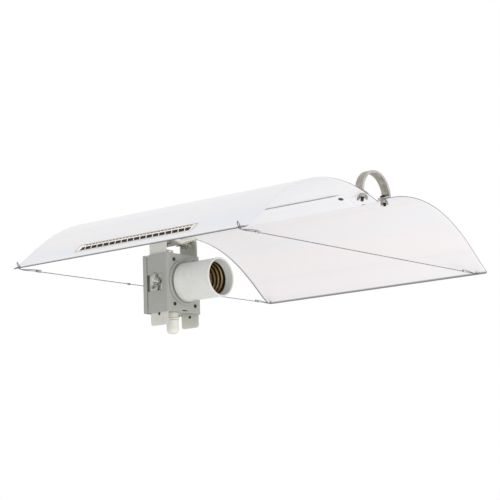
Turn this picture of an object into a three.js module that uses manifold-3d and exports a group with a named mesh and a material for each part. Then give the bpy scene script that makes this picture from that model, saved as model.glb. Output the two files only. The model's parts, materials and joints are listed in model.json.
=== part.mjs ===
// Hanging grow lamp: a bowed sheet reflector with a low V ridge, held in shape by two taut
// wires, and a height-adjustable lampholder that carries one large screw-cap lamp along +X.
//
// Frame of the finished part: millimetres, +Z up, +X along the ridge towards the lamp's tip,
// +Y across the wings. The origin is the hanging point: midway between the two hanging
// loops, at the height of the undersides of their crowns.
//
// The design coordinates below start at the reflector's lampholder end (x = 0), on the
// ridge's centre plane (y = 0), at the height of the wing tips (z = 0).

import * as THREE from "three";
import { mergeVertices } from "three/addons/utils/BufferGeometryUtils.js";
import Module from "manifold-3d";

const wasm = await Module();
wasm.setup();

// ---------------------------------------------------------------- driving dimensions

// Clearance kept between pieces that touch on the real lamp.
const GAP = 0.3;

// Reflector sheet. The half section is one cubic curve from the ridge to the wing tip.
const SHEET_X = [0, 443];
const SHEET_HALF_THICKNESS = 0.5;
const SHEET_CORNER_RADIUS = 7;
const RIDGE_HEIGHT = 73.8;
const HALF_SPAN = 301;
const RIDGE_HANDLE = new THREE.Vector2(182.5, 140.7);
const TIP_HANDLE = new THREE.Vector2(268, 8.2);
const WING_STEPS = 22;
const SPINE_STEPS = 4;
const SADDLE_STEPS = 3;

// Bow wires, which pull the wing tips towards each other.
const WIRE_RADIUS = 0.6;
const WIRE_X = [9, 426];
const WIRE_Z = 0;
const WIRE_STRAND_PITCH = 1.6;
const HOOK_HOLE_Y = 295;
const HOOK_HOLE_RADIUS = 2.4;
const HOOK_HEIGHT = 8;
const HOOK_HALF_WIDTH = 1.3;
const SPARE_HOLE_OFFSET = 5.4;
const SPARE_HOLE_RADIUS = 1.5;
const FERRULE_Y = [252, 261];
const FERRULE_WALL = 0.5;
const HOOK_STEPS = 40;
const STOP_Y = [-66, -61.5];
const STOP_RADIUS = 1.6;

// Ridge spine, under the sheet.
const SPINE_X = [22, 405];
const SPINE_HALF_WIDTH = 37.5;
const SPINE_THICKNESS = 1.5;
const SPINE_TOP = SHEET_HALF_THICKNESS + GAP;
const RIVET_X = [160, 398];
const RIVET_Y = 27;
const RIVET_RADIUS = 2.3;
const RIVET_HEAD_RADIUS = 3.8;
const RIVET_DOME_HEIGHT = 1.4;
const RIVET_TOP_HEIGHT = 1;

// Hanging loops, one over each end of the ridge.
const LOOP_WIDTH = 14;
const LOOP_INSET = 7.3;
const LOOP_OUTER_RADIUS = 36;
const LOOP_THICKNESS = 4;
const LOOP_TAB_THICKNESS = 2;
const LOOP_CENTRE_Z = 84;
const LOOP_FOOT_Z = 86.5;
const LOOP_TAB_INNER_Y = 20;
const LOOP_TAB_STEPS = 2;
const LOOP_SCREW_Y = 26;
const LOOP_NUT_TURN = { right: 0.2, left: -0.35 };

// M5 screws and their wing nuts.
const M5_RADIUS = 2.5;
const M5_HOLE_RADIUS = 2.9;
const M5_HEAD_RADIUS = 4.6;
const M5_HEAD_HEIGHT = 2.8;
const M5_WING_NUT = {
  bore: 2.8,
  hubRadius: 4.4,
  hubHeight: 4.6,
  span: 17,
  height: 9,
  wingThickness: 1.8,
};

// How far a nut's wings start above its bearing face and outside its bore.
const WING_NUT_MARGIN = 0.5;

// M6 clamp bolts and their wing nuts.
const M6_RADIUS = 3;
const M6_HOLE_RADIUS = 3.4;
const M6_HEX_RADIUS = 5.8;
const M6_HEAD_HEIGHT = 4;
const M6_WING_NUT = {
  bore: 3.3,
  hubRadius: 6,
  hubHeight: 6.5,
  span: 27,
  height: 13.5,
  wingThickness: 2.2,
};
const CLAMP_BOLT_REACH = 11;
const M6_WASHER_RADIUS = 6.5;
const M6_WASHER_THICKNESS = 1.2;

// Lamp bracket: a V saddle with two hanging legs.
const BRACKET_X = [29.5, 65.5];
const BRACKET_THICKNESS = 1.5;
const LEG_OUTER_Y = 36.9;
const LEG_BOTTOM_Z = -67;
const LEG_CORNER_RADIUS = 5;
const LEG_STUD_Z = -49;
const LEG_STUD_RADIUS = 2.6;
const LEG_STUD_INWARD = 0.7;
const LEG_STUD_OUTWARD = 0.4;
const PAD_THICKNESS = 7;
const PAD_HALF_WIDTH = 34;
const SADDLE_BOLT_X = 54;
const SADDLE_BOLT_Y = 18;
const LOOP_SCREW_LENGTH = 14;
const SADDLE_BOLT_LENGTH = 22;

// Carriage that slides on the legs.
const SLIDE_DOWN = 20;
const SLIDE_UP = 3;
const SHELL_THICKNESS = 1.2;
const FACE_X = 69;
const REAR_X = 15.5;
const COVER_HALF_WIDTH = 39;
const COVER_Z = [-46.5, 46];
const COVER_FLANGE_REAR_X = 26;
const COVER_EAR_Y = [-38, -25];
const COVER_EAR_HEIGHT = 4;
const EAR_SLOT_Y = [-34.5, -28.5];
const EAR_SLOT_RISE = [1.2, 2.6];
const REAR_LIP_FRONT_X = 24.7;
const NOTCH_FRONT_X = 57;
const NOTCH_Z = [-12, 13.5];
const HOUSING_HALF_WIDTH = 34;
const HOUSING_HALF_HEIGHT = 44;
const HOUSING_X = [17.1, 67.4];
const REAR_OPENING_HALF_WIDTH = 31;
const REAR_OPENING_HALF_HEIGHT = 33;
const REAR_SCREW_Z = 38.5;
const CLAMP_X = 48;
const CLAMP_Z = 2;
const FACE_SCREW_Y = 24;
const FACE_SCREW_Z = [36, -34.5];
const SMALL_SCREW_RADIUS = 1.5;
const SMALL_SCREW_HEAD_RADIUS = 2.8;
const SMALL_SCREW_HEAD_HEIGHT = 1.8;
const SMALL_HOLE_RADIUS = 1.9;
const REAR_SCREW_LENGTH = 7;
const FACE_SCREW_LENGTH = 8;
const FACE_SLOT_HALF_LENGTH = 6;
const FACE_SLOT_Z = [-44.4, -42.4];
const FACE_SLOT_DEPTH = 6;

// Porcelain lampholder for a large screw cap.
const LAMP_AXIS_Z = 1;
const PORCELAIN_X = [71.6, 145.5];
const PORCELAIN_RADIUS = 31;
const PORCELAIN_BORE_RADIUS = 26;
const PORCELAIN_MOUTH_RADIUS = 28;
const PORCELAIN_FLOOR_X = 85;
const PORCELAIN_LIP = 1.5;
const PLUNGER_WALL = 4;
const PLUNGER_RADIUS = 2.2;
const SOCKET_SCREW_DEPTH = 8.9;
const LEAD_HOLE_DEPTH = 5.9;
const FLANGE_RADIUS = 36;
const FLANGE_X = [69.3, 71.3];
const LEAD_HOLE_RADIUS = 9;
const THREAD_MAJOR_RADIUS = 25.4;
const THREAD_MINOR_RADIUS = 23.8;
const THREAD_WALL = 0.7;
const THREAD_PITCH = 7.4;
const THREAD_X = [88, 132.4];
const CONTACT_TRAVEL = 2;
const CONTACT_RADIUS = 7;
const CONTACT_HEIGHT = 5;
const PLUNGER_LENGTH = 7;
const SOCKET_SCREW_Y = 14;
const SOCKET_SCREW_RADIUS = 2;
const SOCKET_SCREW_SIZE = [SOCKET_SCREW_RADIUS, 3.6, 2.4, 13.5];

// Cable gland under the housing, with an M16 size body.
const GLAND_X = 42;
const GLAND_SPIGOT_RADIUS = 7.8;
const GLAND_COLLAR_RADIUS = 9.4;
const GLAND_SLEEVE_RADIUS = 6.8;
const GLAND_SLEEVE_LENGTH = 9;
const GLAND_BORE_RADIUS = 5;
const GLAND_TOP_Z = -36.5;
const GLAND_HEX_Z = [-56, -52.6];
const GLAND_HEX_RADIUS = 11.2;
const LOCKNUT_RADIUS = 11;
const LOCKNUT_HEIGHT = 4;
const DOME_Z = [-77.5, -56.4];
const DOME_RADIUS = 9.8;
const DOME_BORE_RADIUS = 7.1;
const DOME_MOUTH_RADIUS = 4.2;
const SEAL_RADII = [3.4, 6.5];
const SEAL_BOTTOM_Z = -73.7;

// Terminal block and leads inside the housing.
const BLOCK_X = [30, 52];
const BLOCK_HALF_WIDTH = 12;
const BLOCK_Z = [12, 26];
const BLOCK_SLIT_DEPTH = 3;
const TERMINAL_Y = 6;
const TERMINAL_HOLE_DEPTH = 5;
const TERMINAL_SCREW_RADIUS = 2;
const TERMINAL_SCREW_LENGTH = 3.6;
const LEAD_RADIUS = 1.4;
const LEAD_STEPS = 12;

// Blank rating label on the outside of one wing.
const LABEL_X = [107.5, 332];
const LABEL_Y = [265, 281.5];
const LABEL_THICKNESS = 0.3;

// Numbers of sides of round pieces, and of drills for small holes.
const FINE = 32;
const MEDIUM = 20;
const COARSE = 12;
const DRILL_SIDES = 10;

// How far a cutting tool runs past the face that it cuts, and a drill past the wing.
const OVERCUT = 1;
const DRILL_REACH = 14;

// Half the number of points on each arc or curve of an extruded outline.
const ARC_STEPS = 3;

// Half the number of sides of a wire or a lead.
const WIRE_SIDES = 4;

// ---------------------------------------------------------------- finishes

const FINISHES = {
  enamel: { color: 0xf2f2f0, roughness: 0.22, metalness: 0.0 },
  label: { color: 0xf4f1e8, roughness: 0.4, metalness: 0.0 },
  galvanised: { color: 0xa9a79b, roughness: 0.45, metalness: 0.7 },
  zinc: { color: 0xb9bab6, roughness: 0.35, metalness: 0.8 },
  blackSteel: { color: 0x2e2e2f, roughness: 0.45, metalness: 0.6 },
  wire: { color: 0x55565a, roughness: 0.4, metalness: 0.8 },
  greyPaint: { color: 0x9a9b94, roughness: 0.5, metalness: 0.1 },
  creamPaint: { color: 0xd5d5cc, roughness: 0.45, metalness: 0.1 },
  blackPlastic: { color: 0x141414, roughness: 0.5, metalness: 0.0 },
  rubber: { color: 0x2a2a2b, roughness: 0.8, metalness: 0.0 },
  nylon: { color: 0xdedfd6, roughness: 0.45, metalness: 0.0 },
  porcelain: { color: 0xe6e6e0, roughness: 0.2, metalness: 0.0 },
  brass: { color: 0xa98a55, roughness: 0.3, metalness: 0.9 },
};

// ---------------------------------------------------------------- solids and booleans

// Turns a closed geometry into a manifold solid that can be cut and joined.
function solid(geometry) {
  const bare = geometry.clone();
  bare.deleteAttribute("normal");
  bare.deleteAttribute("uv");
  const merged = mergeVertices(bare, 1e-4);
  return new wasm.Manifold(new wasm.Mesh({
    numProp: 3,
    vertProperties: new Float32Array(merged.attributes.position.array),
    triVerts: new Uint32Array(merged.index.array),
  }));
}

// Turns a manifold solid back into a geometry.
function geometryOf(body) {
  const mesh = body.getMesh();
  const geometry = new THREE.BufferGeometry();
  geometry.setAttribute("position", new THREE.BufferAttribute(mesh.vertProperties, 3));
  geometry.setIndex(new THREE.BufferAttribute(mesh.triVerts, 1));
  return geometry;
}

function join(first, ...others) {
  return others.reduce((sum, other) => sum.add(other), first);
}

function cut(body, ...tools) {
  return tools.reduce((left, tool) => left.subtract(tool), body);
}

// Mirrors a solid in the plane y = 0.
function mirrored(body) {
  return body.mirror([0, 1, 0]);
}

// Cuts or adds the same thing on both sides of the plane y = 0.
function bothSides(body) {
  return [body, mirrored(body)];
}

function box(x0, x1, y0, y1, z0, z1) {
  const geometry = new THREE.BoxGeometry(x1 - x0, y1 - y0, z1 - z0);
  geometry.translate((x0 + x1) / 2, (y0 + y1) / 2, (z0 + z1) / 2);
  return solid(geometry);
}

const X_AXIS = new THREE.Vector3(1, 0, 0);
const Y_AXIS = new THREE.Vector3(0, 1, 0);
const Z_AXIS = new THREE.Vector3(0, 0, 1);

// Extrudes a flat shape to a depth, with square edges.
function extruded(shape, depth, curveSegments = ARC_STEPS) {
  return new THREE.ExtrudeGeometry(shape, { depth, curveSegments, bevelEnabled: false });
}

// Extrudes a shape drawn in the (y, z) plane from x0 to x1.
function extrudeAlongX(shape, x0, x1) {
  const geometry = extruded(shape, x1 - x0, ARC_STEPS * 2);
  geometry.applyMatrix4(new THREE.Matrix4().makeBasis(Y_AXIS, Z_AXIS, X_AXIS));
  geometry.translate(x0, 0, 0);
  return solid(geometry);
}

// Extrudes a shape drawn in the (x, z) plane from y0 to y1.
function extrudeAlongY(shape, y0, y1) {
  const geometry = extruded(shape, y1 - y0);
  geometry.applyMatrix4(new THREE.Matrix4().makeBasis(X_AXIS, Z_AXIS, Y_AXIS.clone().negate()));
  geometry.translate(0, y1, 0);
  return solid(geometry);
}

// Extrudes a shape drawn in the (x, y) plane from z0 to z1.
function extrudeAlongZ(shape, z0, z1) {
  const geometry = extruded(shape, z1 - z0);
  geometry.translate(0, 0, z0);
  return solid(geometry);
}

// A round wire that follows a curve.
function wireAlong(route, radius, steps) {
  const section = new THREE.Shape();
  section.absarc(0, 0, radius, 0, Math.PI * 2, false);
  const options = { steps, curveSegments: WIRE_SIDES, extrudePath: route };
  return solid(new THREE.ExtrudeGeometry(section, options));
}

// Turns a closed profile of [radius, distance] pairs about an axis through a point.
function turned(profile, centre, direction, sides = COARSE) {
  const outline = profile.map(([radius, along]) => new THREE.Vector2(radius, along));
  const first = outline[0];
  if (first.x > 0) {
    outline.push(first.clone());
  }
  const geometry = new THREE.LatheGeometry(outline, sides);
  const turn = new THREE.Quaternion().setFromUnitVectors(Y_AXIS, direction.clone().normalize());
  geometry.applyQuaternion(turn);
  geometry.translate(centre.x, centre.y, centre.z);
  const body = solid(geometry);
  return body.volume() < 0 ? solid(reversed(geometry)) : body;
}

// Swaps two corners of every triangle, so that the faces point the other way.
function reversed(geometry) {
  const index = geometry.index.array;
  for (let i = 0; i < index.length; i += 3) {
    [index[i + 1], index[i + 2]] = [index[i + 2], index[i + 1]];
  }
  return geometry;
}

// A round bar from one distance to another along an axis through a point.
function bar(radius, from, to, centre, direction, sides = COARSE) {
  return turned([[0, from], [radius, from], [radius, to], [0, to]], centre, direction, sides);
}

// A flat ring or tube between two radii.
function ring(inner, outer, from, to, centre, direction, sides = COARSE) {
  return turned([[inner, from], [outer, from], [outer, to], [inner, to]], centre, direction, sides);
}

function roundedRectangle(x0, x1, y0, y1, radius) {
  const shape = new THREE.Shape();
  shape.moveTo(x0 + radius, y0);
  shape.lineTo(x1 - radius, y0);
  shape.absarc(x1 - radius, y0 + radius, radius, -Math.PI / 2, 0, false);
  shape.lineTo(x1, y1 - radius);
  shape.absarc(x1 - radius, y1 - radius, radius, 0, Math.PI / 2, false);
  shape.lineTo(x0 + radius, y1);
  shape.absarc(x0 + radius, y1 - radius, radius, Math.PI / 2, Math.PI, false);
  shape.lineTo(x0, y0 + radius);
  shape.absarc(x0 + radius, y0 + radius, radius, Math.PI, Math.PI * 1.5, false);
  return shape;
}

// A straight slot with round ends, centred on (x, y), long in the second coordinate.
function uprightSlot(x, y0, y1, radius) {
  const slot = new THREE.Shape();
  slot.absarc(x, y1 - radius, radius, 0, Math.PI, false);
  slot.absarc(x, y0 + radius, radius, Math.PI, Math.PI * 2, false);
  return slot;
}

// ---------------------------------------------------------------- the wing's section

const WING = new THREE.CubicBezierCurve(
  new THREE.Vector2(0, RIDGE_HEIGHT),
  RIDGE_HANDLE,
  TIP_HANDLE,
  new THREE.Vector2(HALF_SPAN, 0),
);

// Curve parameter at which the half section reaches a distance y from the ridge.
function wingParameter(y) {
  let low = 0;
  let high = 1;
  for (let i = 0; i < 40; i += 1) {
    const middle = (low + high) / 2;
    if (WING.getPoint(middle).x < y) {
      low = middle;
    } else {
      high = middle;
    }
  }
  return (low + high) / 2;
}

// Point at a distance above the sheet's middle surface, at a curve parameter.
function wingOffset(t, distance) {
  const point = WING.getPoint(t);
  const tangent = WING.getTangent(t);
  if (t === 0) {
    return new THREE.Vector2(0, point.y + distance / tangent.x);
  }
  return new THREE.Vector2(point.x - tangent.y * distance, point.y + tangent.x * distance);
}

// Point and outward direction of the wing at a distance y from the ridge, at a station x.
function wingFrame(x, y) {
  const t = wingParameter(Math.abs(y));
  const point = WING.getPoint(t);
  const tangent = WING.getTangent(t);
  const side = Math.sign(y);
  return {
    point: new THREE.Vector3(x, side * point.x, point.y),
    normal: new THREE.Vector3(0, -side * tangent.y, tangent.x),
  };
}

// Section of a layer that lies between two distances from the sheet's middle surface, on one
// wing, between two distances from the ridge.
function wingBand(yFrom, yTo, bottom, top, steps) {
  const from = yFrom === 0 ? 0 : wingParameter(yFrom);
  const to = wingParameter(yTo);
  const upper = [];
  const lower = [];
  for (let i = 0; i <= steps; i += 1) {
    const t = from + ((to - from) * i) / steps;
    upper.push(wingOffset(t, top));
    lower.push(wingOffset(t, bottom));
  }
  return { upper, lower };
}

// Section of the same kind of layer over both wings.
function ridgeLayer(halfWidth, bottom, top, steps) {
  const { upper, lower } = wingBand(0, halfWidth, bottom, top, steps);
  const flip = (p) => new THREE.Vector2(-p.x, p.y);
  const topLeft = upper.slice(1).reverse().map(flip);
  const bottomLeft = lower.slice(1).map(flip);
  return new THREE.Shape([...topLeft, ...upper, ...lower.reverse(), ...bottomLeft]);
}

function oneWingLayer(yFrom, yTo, bottom, top, steps) {
  const { upper, lower } = wingBand(yFrom, yTo, bottom, top, steps);
  return new THREE.Shape([...upper, ...lower.reverse()]);
}

// A drill through the layers of the wing, square to its surface.
function wingDrill(x, y, radius) {
  const { point, normal } = wingFrame(x, y);
  return bar(radius, -DRILL_REACH, DRILL_REACH, point, normal, DRILL_SIDES);
}

// ---------------------------------------------------------------- reflector

const LOOP_X = [SHEET_X[0] + LOOP_INSET, SHEET_X[1] - LOOP_INSET];
const MIDDLE_X = (SHEET_X[0] + SHEET_X[1]) / 2;
const SIDES = [-1, 1];
const SPINE_BOTTOM = SPINE_TOP + SPINE_THICKNESS;

function reflectorSheet() {
  const section = ridgeLayer(HALF_SPAN, -SHEET_HALF_THICKNESS, SHEET_HALF_THICKNESS, WING_STEPS);
  const strip = extrudeAlongX(section, ...SHEET_X);
  const edge = HALF_SPAN + SHEET_HALF_THICKNESS;
  const plan = roundedRectangle(...SHEET_X, -edge, edge, SHEET_CORNER_RADIUS);
  const rounded = strip.intersect(extrudeAlongZ(plan, -RIDGE_HEIGHT, RIDGE_HEIGHT * 2));
  const holes = [];
  for (const side of SIDES) {
    for (const x of WIRE_X) {
      const outward = Math.sign(x - MIDDLE_X);
      holes.push(wingDrill(x, side * HOOK_HOLE_Y, HOOK_HOLE_RADIUS));
      holes.push(wingDrill(x + outward * SPARE_HOLE_OFFSET, side * HOOK_HOLE_Y, SPARE_HOLE_RADIUS));
    }
    LOOP_X.forEach((x) => holes.push(wingDrill(x, side * LOOP_SCREW_Y, M5_HOLE_RADIUS)));
    RIVET_X.forEach((x) => holes.push(wingDrill(x, side * RIVET_Y, RIVET_RADIUS + GAP)));
  }
  return cut(rounded, ...holes, ...saddleBoltDrills());
}

function ridgeSpine() {
  const section = ridgeLayer(SPINE_HALF_WIDTH, -SPINE_BOTTOM, -SPINE_TOP, SPINE_STEPS);
  const strip = extrudeAlongX(section, ...SPINE_X);
  const holes = [];
  for (const side of SIDES) {
    RIVET_X.forEach((x) => holes.push(wingDrill(x, side * RIVET_Y, RIVET_RADIUS + GAP)));
  }
  return cut(strip, ...holes, ...saddleBoltDrills());
}

// A push rivet that holds the spine under the sheet, with a domed head below and a flat
// one above.
function spineRivet(x, y) {
  const { point, normal } = wingFrame(x, y);
  const under = -SPINE_BOTTOM - GAP;
  const over = SHEET_HALF_THICKNESS + GAP;
  const profile = [
    [0, under - RIVET_DOME_HEIGHT],
    [RIVET_HEAD_RADIUS * 0.7, under - RIVET_DOME_HEIGHT * 0.8],
    [RIVET_HEAD_RADIUS, under],
    [RIVET_RADIUS, under],
    [RIVET_RADIUS, over],
    [RIVET_HEAD_RADIUS * 0.8, over],
    [RIVET_HEAD_RADIUS * 0.6, over + RIVET_TOP_HEIGHT],
    [0, over + RIVET_TOP_HEIGHT],
  ];
  return turned(profile, point, normal);
}

function ratingLabel() {
  const under = SHEET_HALF_THICKNESS + GAP;
  const section = oneWingLayer(...LABEL_Y, under, under + LABEL_THICKNESS, SPINE_STEPS);
  return mirrored(extrudeAlongX(section, ...LABEL_X));
}

// ---------------------------------------------------------------- bow wires

// The end of a bow wire at the +Y tip: out from the main run, up through the hook hole from
// below, bent over in a narrow hairpin above the wing, and back down into the crimp ferrule.
function wireHook(x) {
  const { point: hole, normal } = wingFrame(x, HOOK_HOLE_Y);
  const run = (y, z) => new THREE.Vector3(x, y, z);
  const pin = (across, along) => {
    const point = hole.clone().addScaledVector(normal, along * HOOK_HEIGHT);
    return point.addScaledVector(X_AXIS, across * HOOK_HALF_WIDTH);
  };
  const tailZ = WIRE_Z + WIRE_STRAND_PITCH;
  const route = new THREE.CatmullRomCurve3([
    run(FERRULE_Y[0] - 6, WIRE_Z),
    run(FERRULE_Y[0] + 4, WIRE_Z),
    run(FERRULE_Y[1] + 4, WIRE_Z),
    pin(1, -0.35),
    pin(1, 0),
    pin(1, 0.6),
    pin(0, 1),
    pin(-1, 0.6),
    pin(-1, 0),
    pin(-1, -0.25),
    run(FERRULE_Y[1] + 4, tailZ + 0.4),
    run(FERRULE_Y[1] - 4, tailZ),
    run(FERRULE_Y[0] + 1, tailZ),
  ], false, "centripetal");
  return wireAlong(route, WIRE_RADIUS, HOOK_STEPS);
}

function bowWire(x) {
  const reach = FERRULE_Y[0] - 2;
  const centre = new THREE.Vector3(x, 0, WIRE_Z);
  const main = bar(WIRE_RADIUS * 0.98, -reach, reach, centre, Y_AXIS, 8);
  return join(main, ...bothSides(wireHook(x)));
}

// A crimped sleeve round the wire's two strands.
function wireFerrule(x) {
  const capsule = (radius) => {
    const shape = new THREE.Shape();
    shape.absarc(x, WIRE_Z + WIRE_STRAND_PITCH, radius, 0, Math.PI, false);
    shape.absarc(x, WIRE_Z, radius, Math.PI, Math.PI * 2, false);
    return shape;
  };
  const bore = WIRE_RADIUS + GAP;
  const sleeve = extrudeAlongY(capsule(bore + FERRULE_WALL), ...FERRULE_Y);
  return cut(sleeve, extrudeAlongY(capsule(bore), FERRULE_Y[0] - OVERCUT, FERRULE_Y[1] + OVERCUT));
}

// A small round stop crimped on the first wire.
function wireStop() {
  const centre = new THREE.Vector3(WIRE_X[0], 0, WIRE_Z);
  return ring(WIRE_RADIUS + GAP, STOP_RADIUS, ...STOP_Y, centre, Y_AXIS, COARSE);
}

// ---------------------------------------------------------------- screws and wing nuts

// A pan head screw. The head's bearing face is at 0 and the shank runs towards -along.
function panScrew(radius, headRadius, headHeight, length, centre, along) {
  const profile = [
    [0, -length],
    [radius, -length],
    [radius, 0],
    [headRadius, 0],
    [headRadius, headHeight * 0.55],
    [headRadius * 0.7, headHeight],
    [0, headHeight],
  ];
  return turned(profile, centre, along);
}

// A wing nut whose bearing face is at the centre and whose wings point along a direction.
function wingNut(size, centre, along, wingsAlong) {
  const hub = ring(size.bore, size.hubRadius, 0, size.hubHeight, new THREE.Vector3(), Z_AXIS);
  const wing = new THREE.Shape();
  const inner = size.bore + WING_NUT_MARGIN;
  const outer = size.span / 2;
  wing.moveTo(inner, WING_NUT_MARGIN);
  wing.lineTo(size.hubRadius, WING_NUT_MARGIN);
  wing.quadraticCurveTo(outer, size.height * 0.2, outer, size.height * 0.7);
  wing.quadraticCurveTo(outer, size.height, outer * 0.78, size.height);
  wing.quadraticCurveTo(size.hubRadius, size.height * 0.8, inner, size.hubHeight);
  const half = size.wingThickness / 2;
  const right = extrudeAlongY(wing, -half, half);
  const left = right.mirror([1, 0, 0]);
  const zAxis = along.clone().normalize();
  const xAxis = wingsAlong.clone().addScaledVector(zAxis, -wingsAlong.dot(zAxis)).normalize();
  const yAxis = new THREE.Vector3().crossVectors(zAxis, xAxis);
  const place = new THREE.Matrix4().makeBasis(xAxis, yAxis, zAxis).setPosition(centre);
  return solid(geometryOf(join(hub, left, right)).applyMatrix4(place));
}

// ---------------------------------------------------------------- hanging loops

const LOOP_TAB_BOTTOM = SHEET_HALF_THICKNESS + GAP;
const LOOP_TAB_TOP = LOOP_TAB_BOTTOM + LOOP_TAB_THICKNESS;

function hangerLoop(x) {
  const inner = LOOP_OUTER_RADIUS - LOOP_THICKNESS;
  const foot = Math.asin((LOOP_FOOT_Z - LOOP_CENTRE_Z) / LOOP_OUTER_RADIUS);
  const arch = new THREE.Shape();
  arch.absarc(0, LOOP_CENTRE_Z, LOOP_OUTER_RADIUS, foot, Math.PI - foot, false);
  arch.absarc(0, LOOP_CENTRE_Z, inner, Math.PI - foot, foot, true);
  const ends = [x - LOOP_WIDTH / 2, x + LOOP_WIDTH / 2];
  const tabSection = oneWingLayer(
    LOOP_TAB_INNER_Y, LOOP_OUTER_RADIUS, LOOP_TAB_BOTTOM, LOOP_TAB_TOP, LOOP_TAB_STEPS,
  );
  const tab = extrudeAlongX(tabSection, ...ends);
  const body = join(extrudeAlongX(arch, ...ends), ...bothSides(tab));
  return cut(body, ...SIDES.map((side) => wingDrill(x, side * LOOP_SCREW_Y, M5_HOLE_RADIUS)));
}

function loopScrew(x, y) {
  const { point, normal } = wingFrame(x, y);
  const seat = point.clone().addScaledVector(normal, LOOP_TAB_TOP + GAP);
  return panScrew(M5_RADIUS, M5_HEAD_RADIUS, M5_HEAD_HEIGHT, LOOP_SCREW_LENGTH, seat, normal);
}

function loopWingNut(x, y) {
  const { point, normal } = wingFrame(x, y);
  const seat = point.clone().addScaledVector(normal, -SHEET_HALF_THICKNESS - GAP);
  const turn = y < 0 ? LOOP_NUT_TURN.right : LOOP_NUT_TURN.left;
  return wingNut(M5_WING_NUT, seat, normal.clone().negate(), new THREE.Vector3(1, turn, 0));
}

// ---------------------------------------------------------------- lamp bracket

const PAD_TOP = SPINE_BOTTOM + GAP;
const PAD_BOTTOM = PAD_TOP + PAD_THICKNESS;
const SADDLE_TOP = PAD_BOTTOM + GAP;
const SADDLE_BOTTOM = SADDLE_TOP + BRACKET_THICKNESS;
const LEG_INNER_Y = LEG_OUTER_Y - BRACKET_THICKNESS;
const LEG_X = (BRACKET_X[0] + BRACKET_X[1]) / 2;

// A leg with its clamp slot, and a small stud riveted through its lower end.
function bracketLeg() {
  const top = wingOffset(wingParameter(LEG_INNER_Y), -(SADDLE_TOP + SADDLE_BOTTOM) / 2).y;
  const outline = new THREE.Shape();
  const [rear, front] = BRACKET_X;
  const radius = LEG_CORNER_RADIUS;
  const low = LEG_BOTTOM_Z + radius;
  outline.moveTo(rear, top);
  outline.lineTo(rear, low);
  outline.absarc(rear + radius, low, radius, Math.PI, Math.PI * 1.5, false);
  outline.absarc(front - radius, low, radius, Math.PI * 1.5, Math.PI * 2, false);
  outline.lineTo(front, top);
  const slack = M6_HOLE_RADIUS + GAP * 2;
  const slot = uprightSlot(CLAMP_X, CLAMP_Z - SLIDE_DOWN - slack, CLAMP_Z + SLIDE_UP + slack, M6_HOLE_RADIUS);
  const plate = extrudeAlongY(outline, LEG_INNER_Y, LEG_OUTER_Y);
  const through = [LEG_INNER_Y - OVERCUT, LEG_OUTER_Y + OVERCUT];
  const studEnds = [LEG_INNER_Y - LEG_STUD_INWARD, LEG_OUTER_Y + LEG_STUD_OUTWARD];
  const studAxis = new THREE.Vector3(LEG_X, 0, LEG_STUD_Z);
  const stud = bar(LEG_STUD_RADIUS, ...studEnds, studAxis, Y_AXIS);
  return join(cut(plate, extrudeAlongY(slot, ...through)), stud);
}

function saddleBoltDrills() {
  return SIDES.map((side) => wingDrill(SADDLE_BOLT_X, side * SADDLE_BOLT_Y, M5_HOLE_RADIUS));
}

function lampBracket() {
  const section = ridgeLayer(LEG_OUTER_Y, -SADDLE_BOTTOM, -SADDLE_TOP, SADDLE_STEPS);
  const saddle = extrudeAlongX(section, ...BRACKET_X);
  return cut(join(saddle, ...bothSides(bracketLeg())), ...saddleBoltDrills());
}

function saddlePad() {
  const section = ridgeLayer(PAD_HALF_WIDTH, -PAD_BOTTOM, -PAD_TOP, SADDLE_STEPS);
  return cut(extrudeAlongX(section, ...BRACKET_X), ...saddleBoltDrills());
}

function saddleBolt(side) {
  const { point, normal } = wingFrame(SADDLE_BOLT_X, side * SADDLE_BOLT_Y);
  const seat = point.clone().addScaledVector(normal, SHEET_HALF_THICKNESS + GAP);
  return panScrew(M5_RADIUS, M5_HEAD_RADIUS, M5_HEAD_HEIGHT, SADDLE_BOLT_LENGTH, seat, normal);
}

function saddleWingNut(side) {
  const { point, normal } = wingFrame(SADDLE_BOLT_X, side * SADDLE_BOLT_Y);
  const seat = point.clone().addScaledVector(normal, -SADDLE_BOTTOM - GAP);
  return wingNut(M5_WING_NUT, seat, normal.clone().negate(), new THREE.Vector3(1, 0.5, 0));
}

// ---------------------------------------------------------------- carriage

const LAMP_CENTRE = new THREE.Vector3(0, 0, LAMP_AXIS_Z);
const CLAMP_CENTRE = new THREE.Vector3(CLAMP_X, 0, CLAMP_Z);
const GLAND_AXIS = new THREE.Vector3(GLAND_X, 0, 0);

// A round tool along X, centred on the lamp's axis or beside it.
function axialTool(radius, y, z, x0, x1, sides = COARSE) {
  return bar(radius, x0, x1, new THREE.Vector3(0, y, z), X_AXIS, sides);
}

// Tools for the four face screws, the two socket screws and the leads.
function faceTools(x0, x1, screwRadius) {
  const tools = [axialTool(LEAD_HOLE_RADIUS, 0, LAMP_AXIS_Z, x0, x1, MEDIUM)];
  for (const side of SIDES) {
    FACE_SCREW_Z.forEach((z) => tools.push(axialTool(screwRadius, side * FACE_SCREW_Y, z, x0, x1)));
    tools.push(axialTool(SOCKET_SCREW_RADIUS + GAP, side * SOCKET_SCREW_Y, LAMP_AXIS_Z, x0, x1));
  }
  return tools;
}

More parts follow.
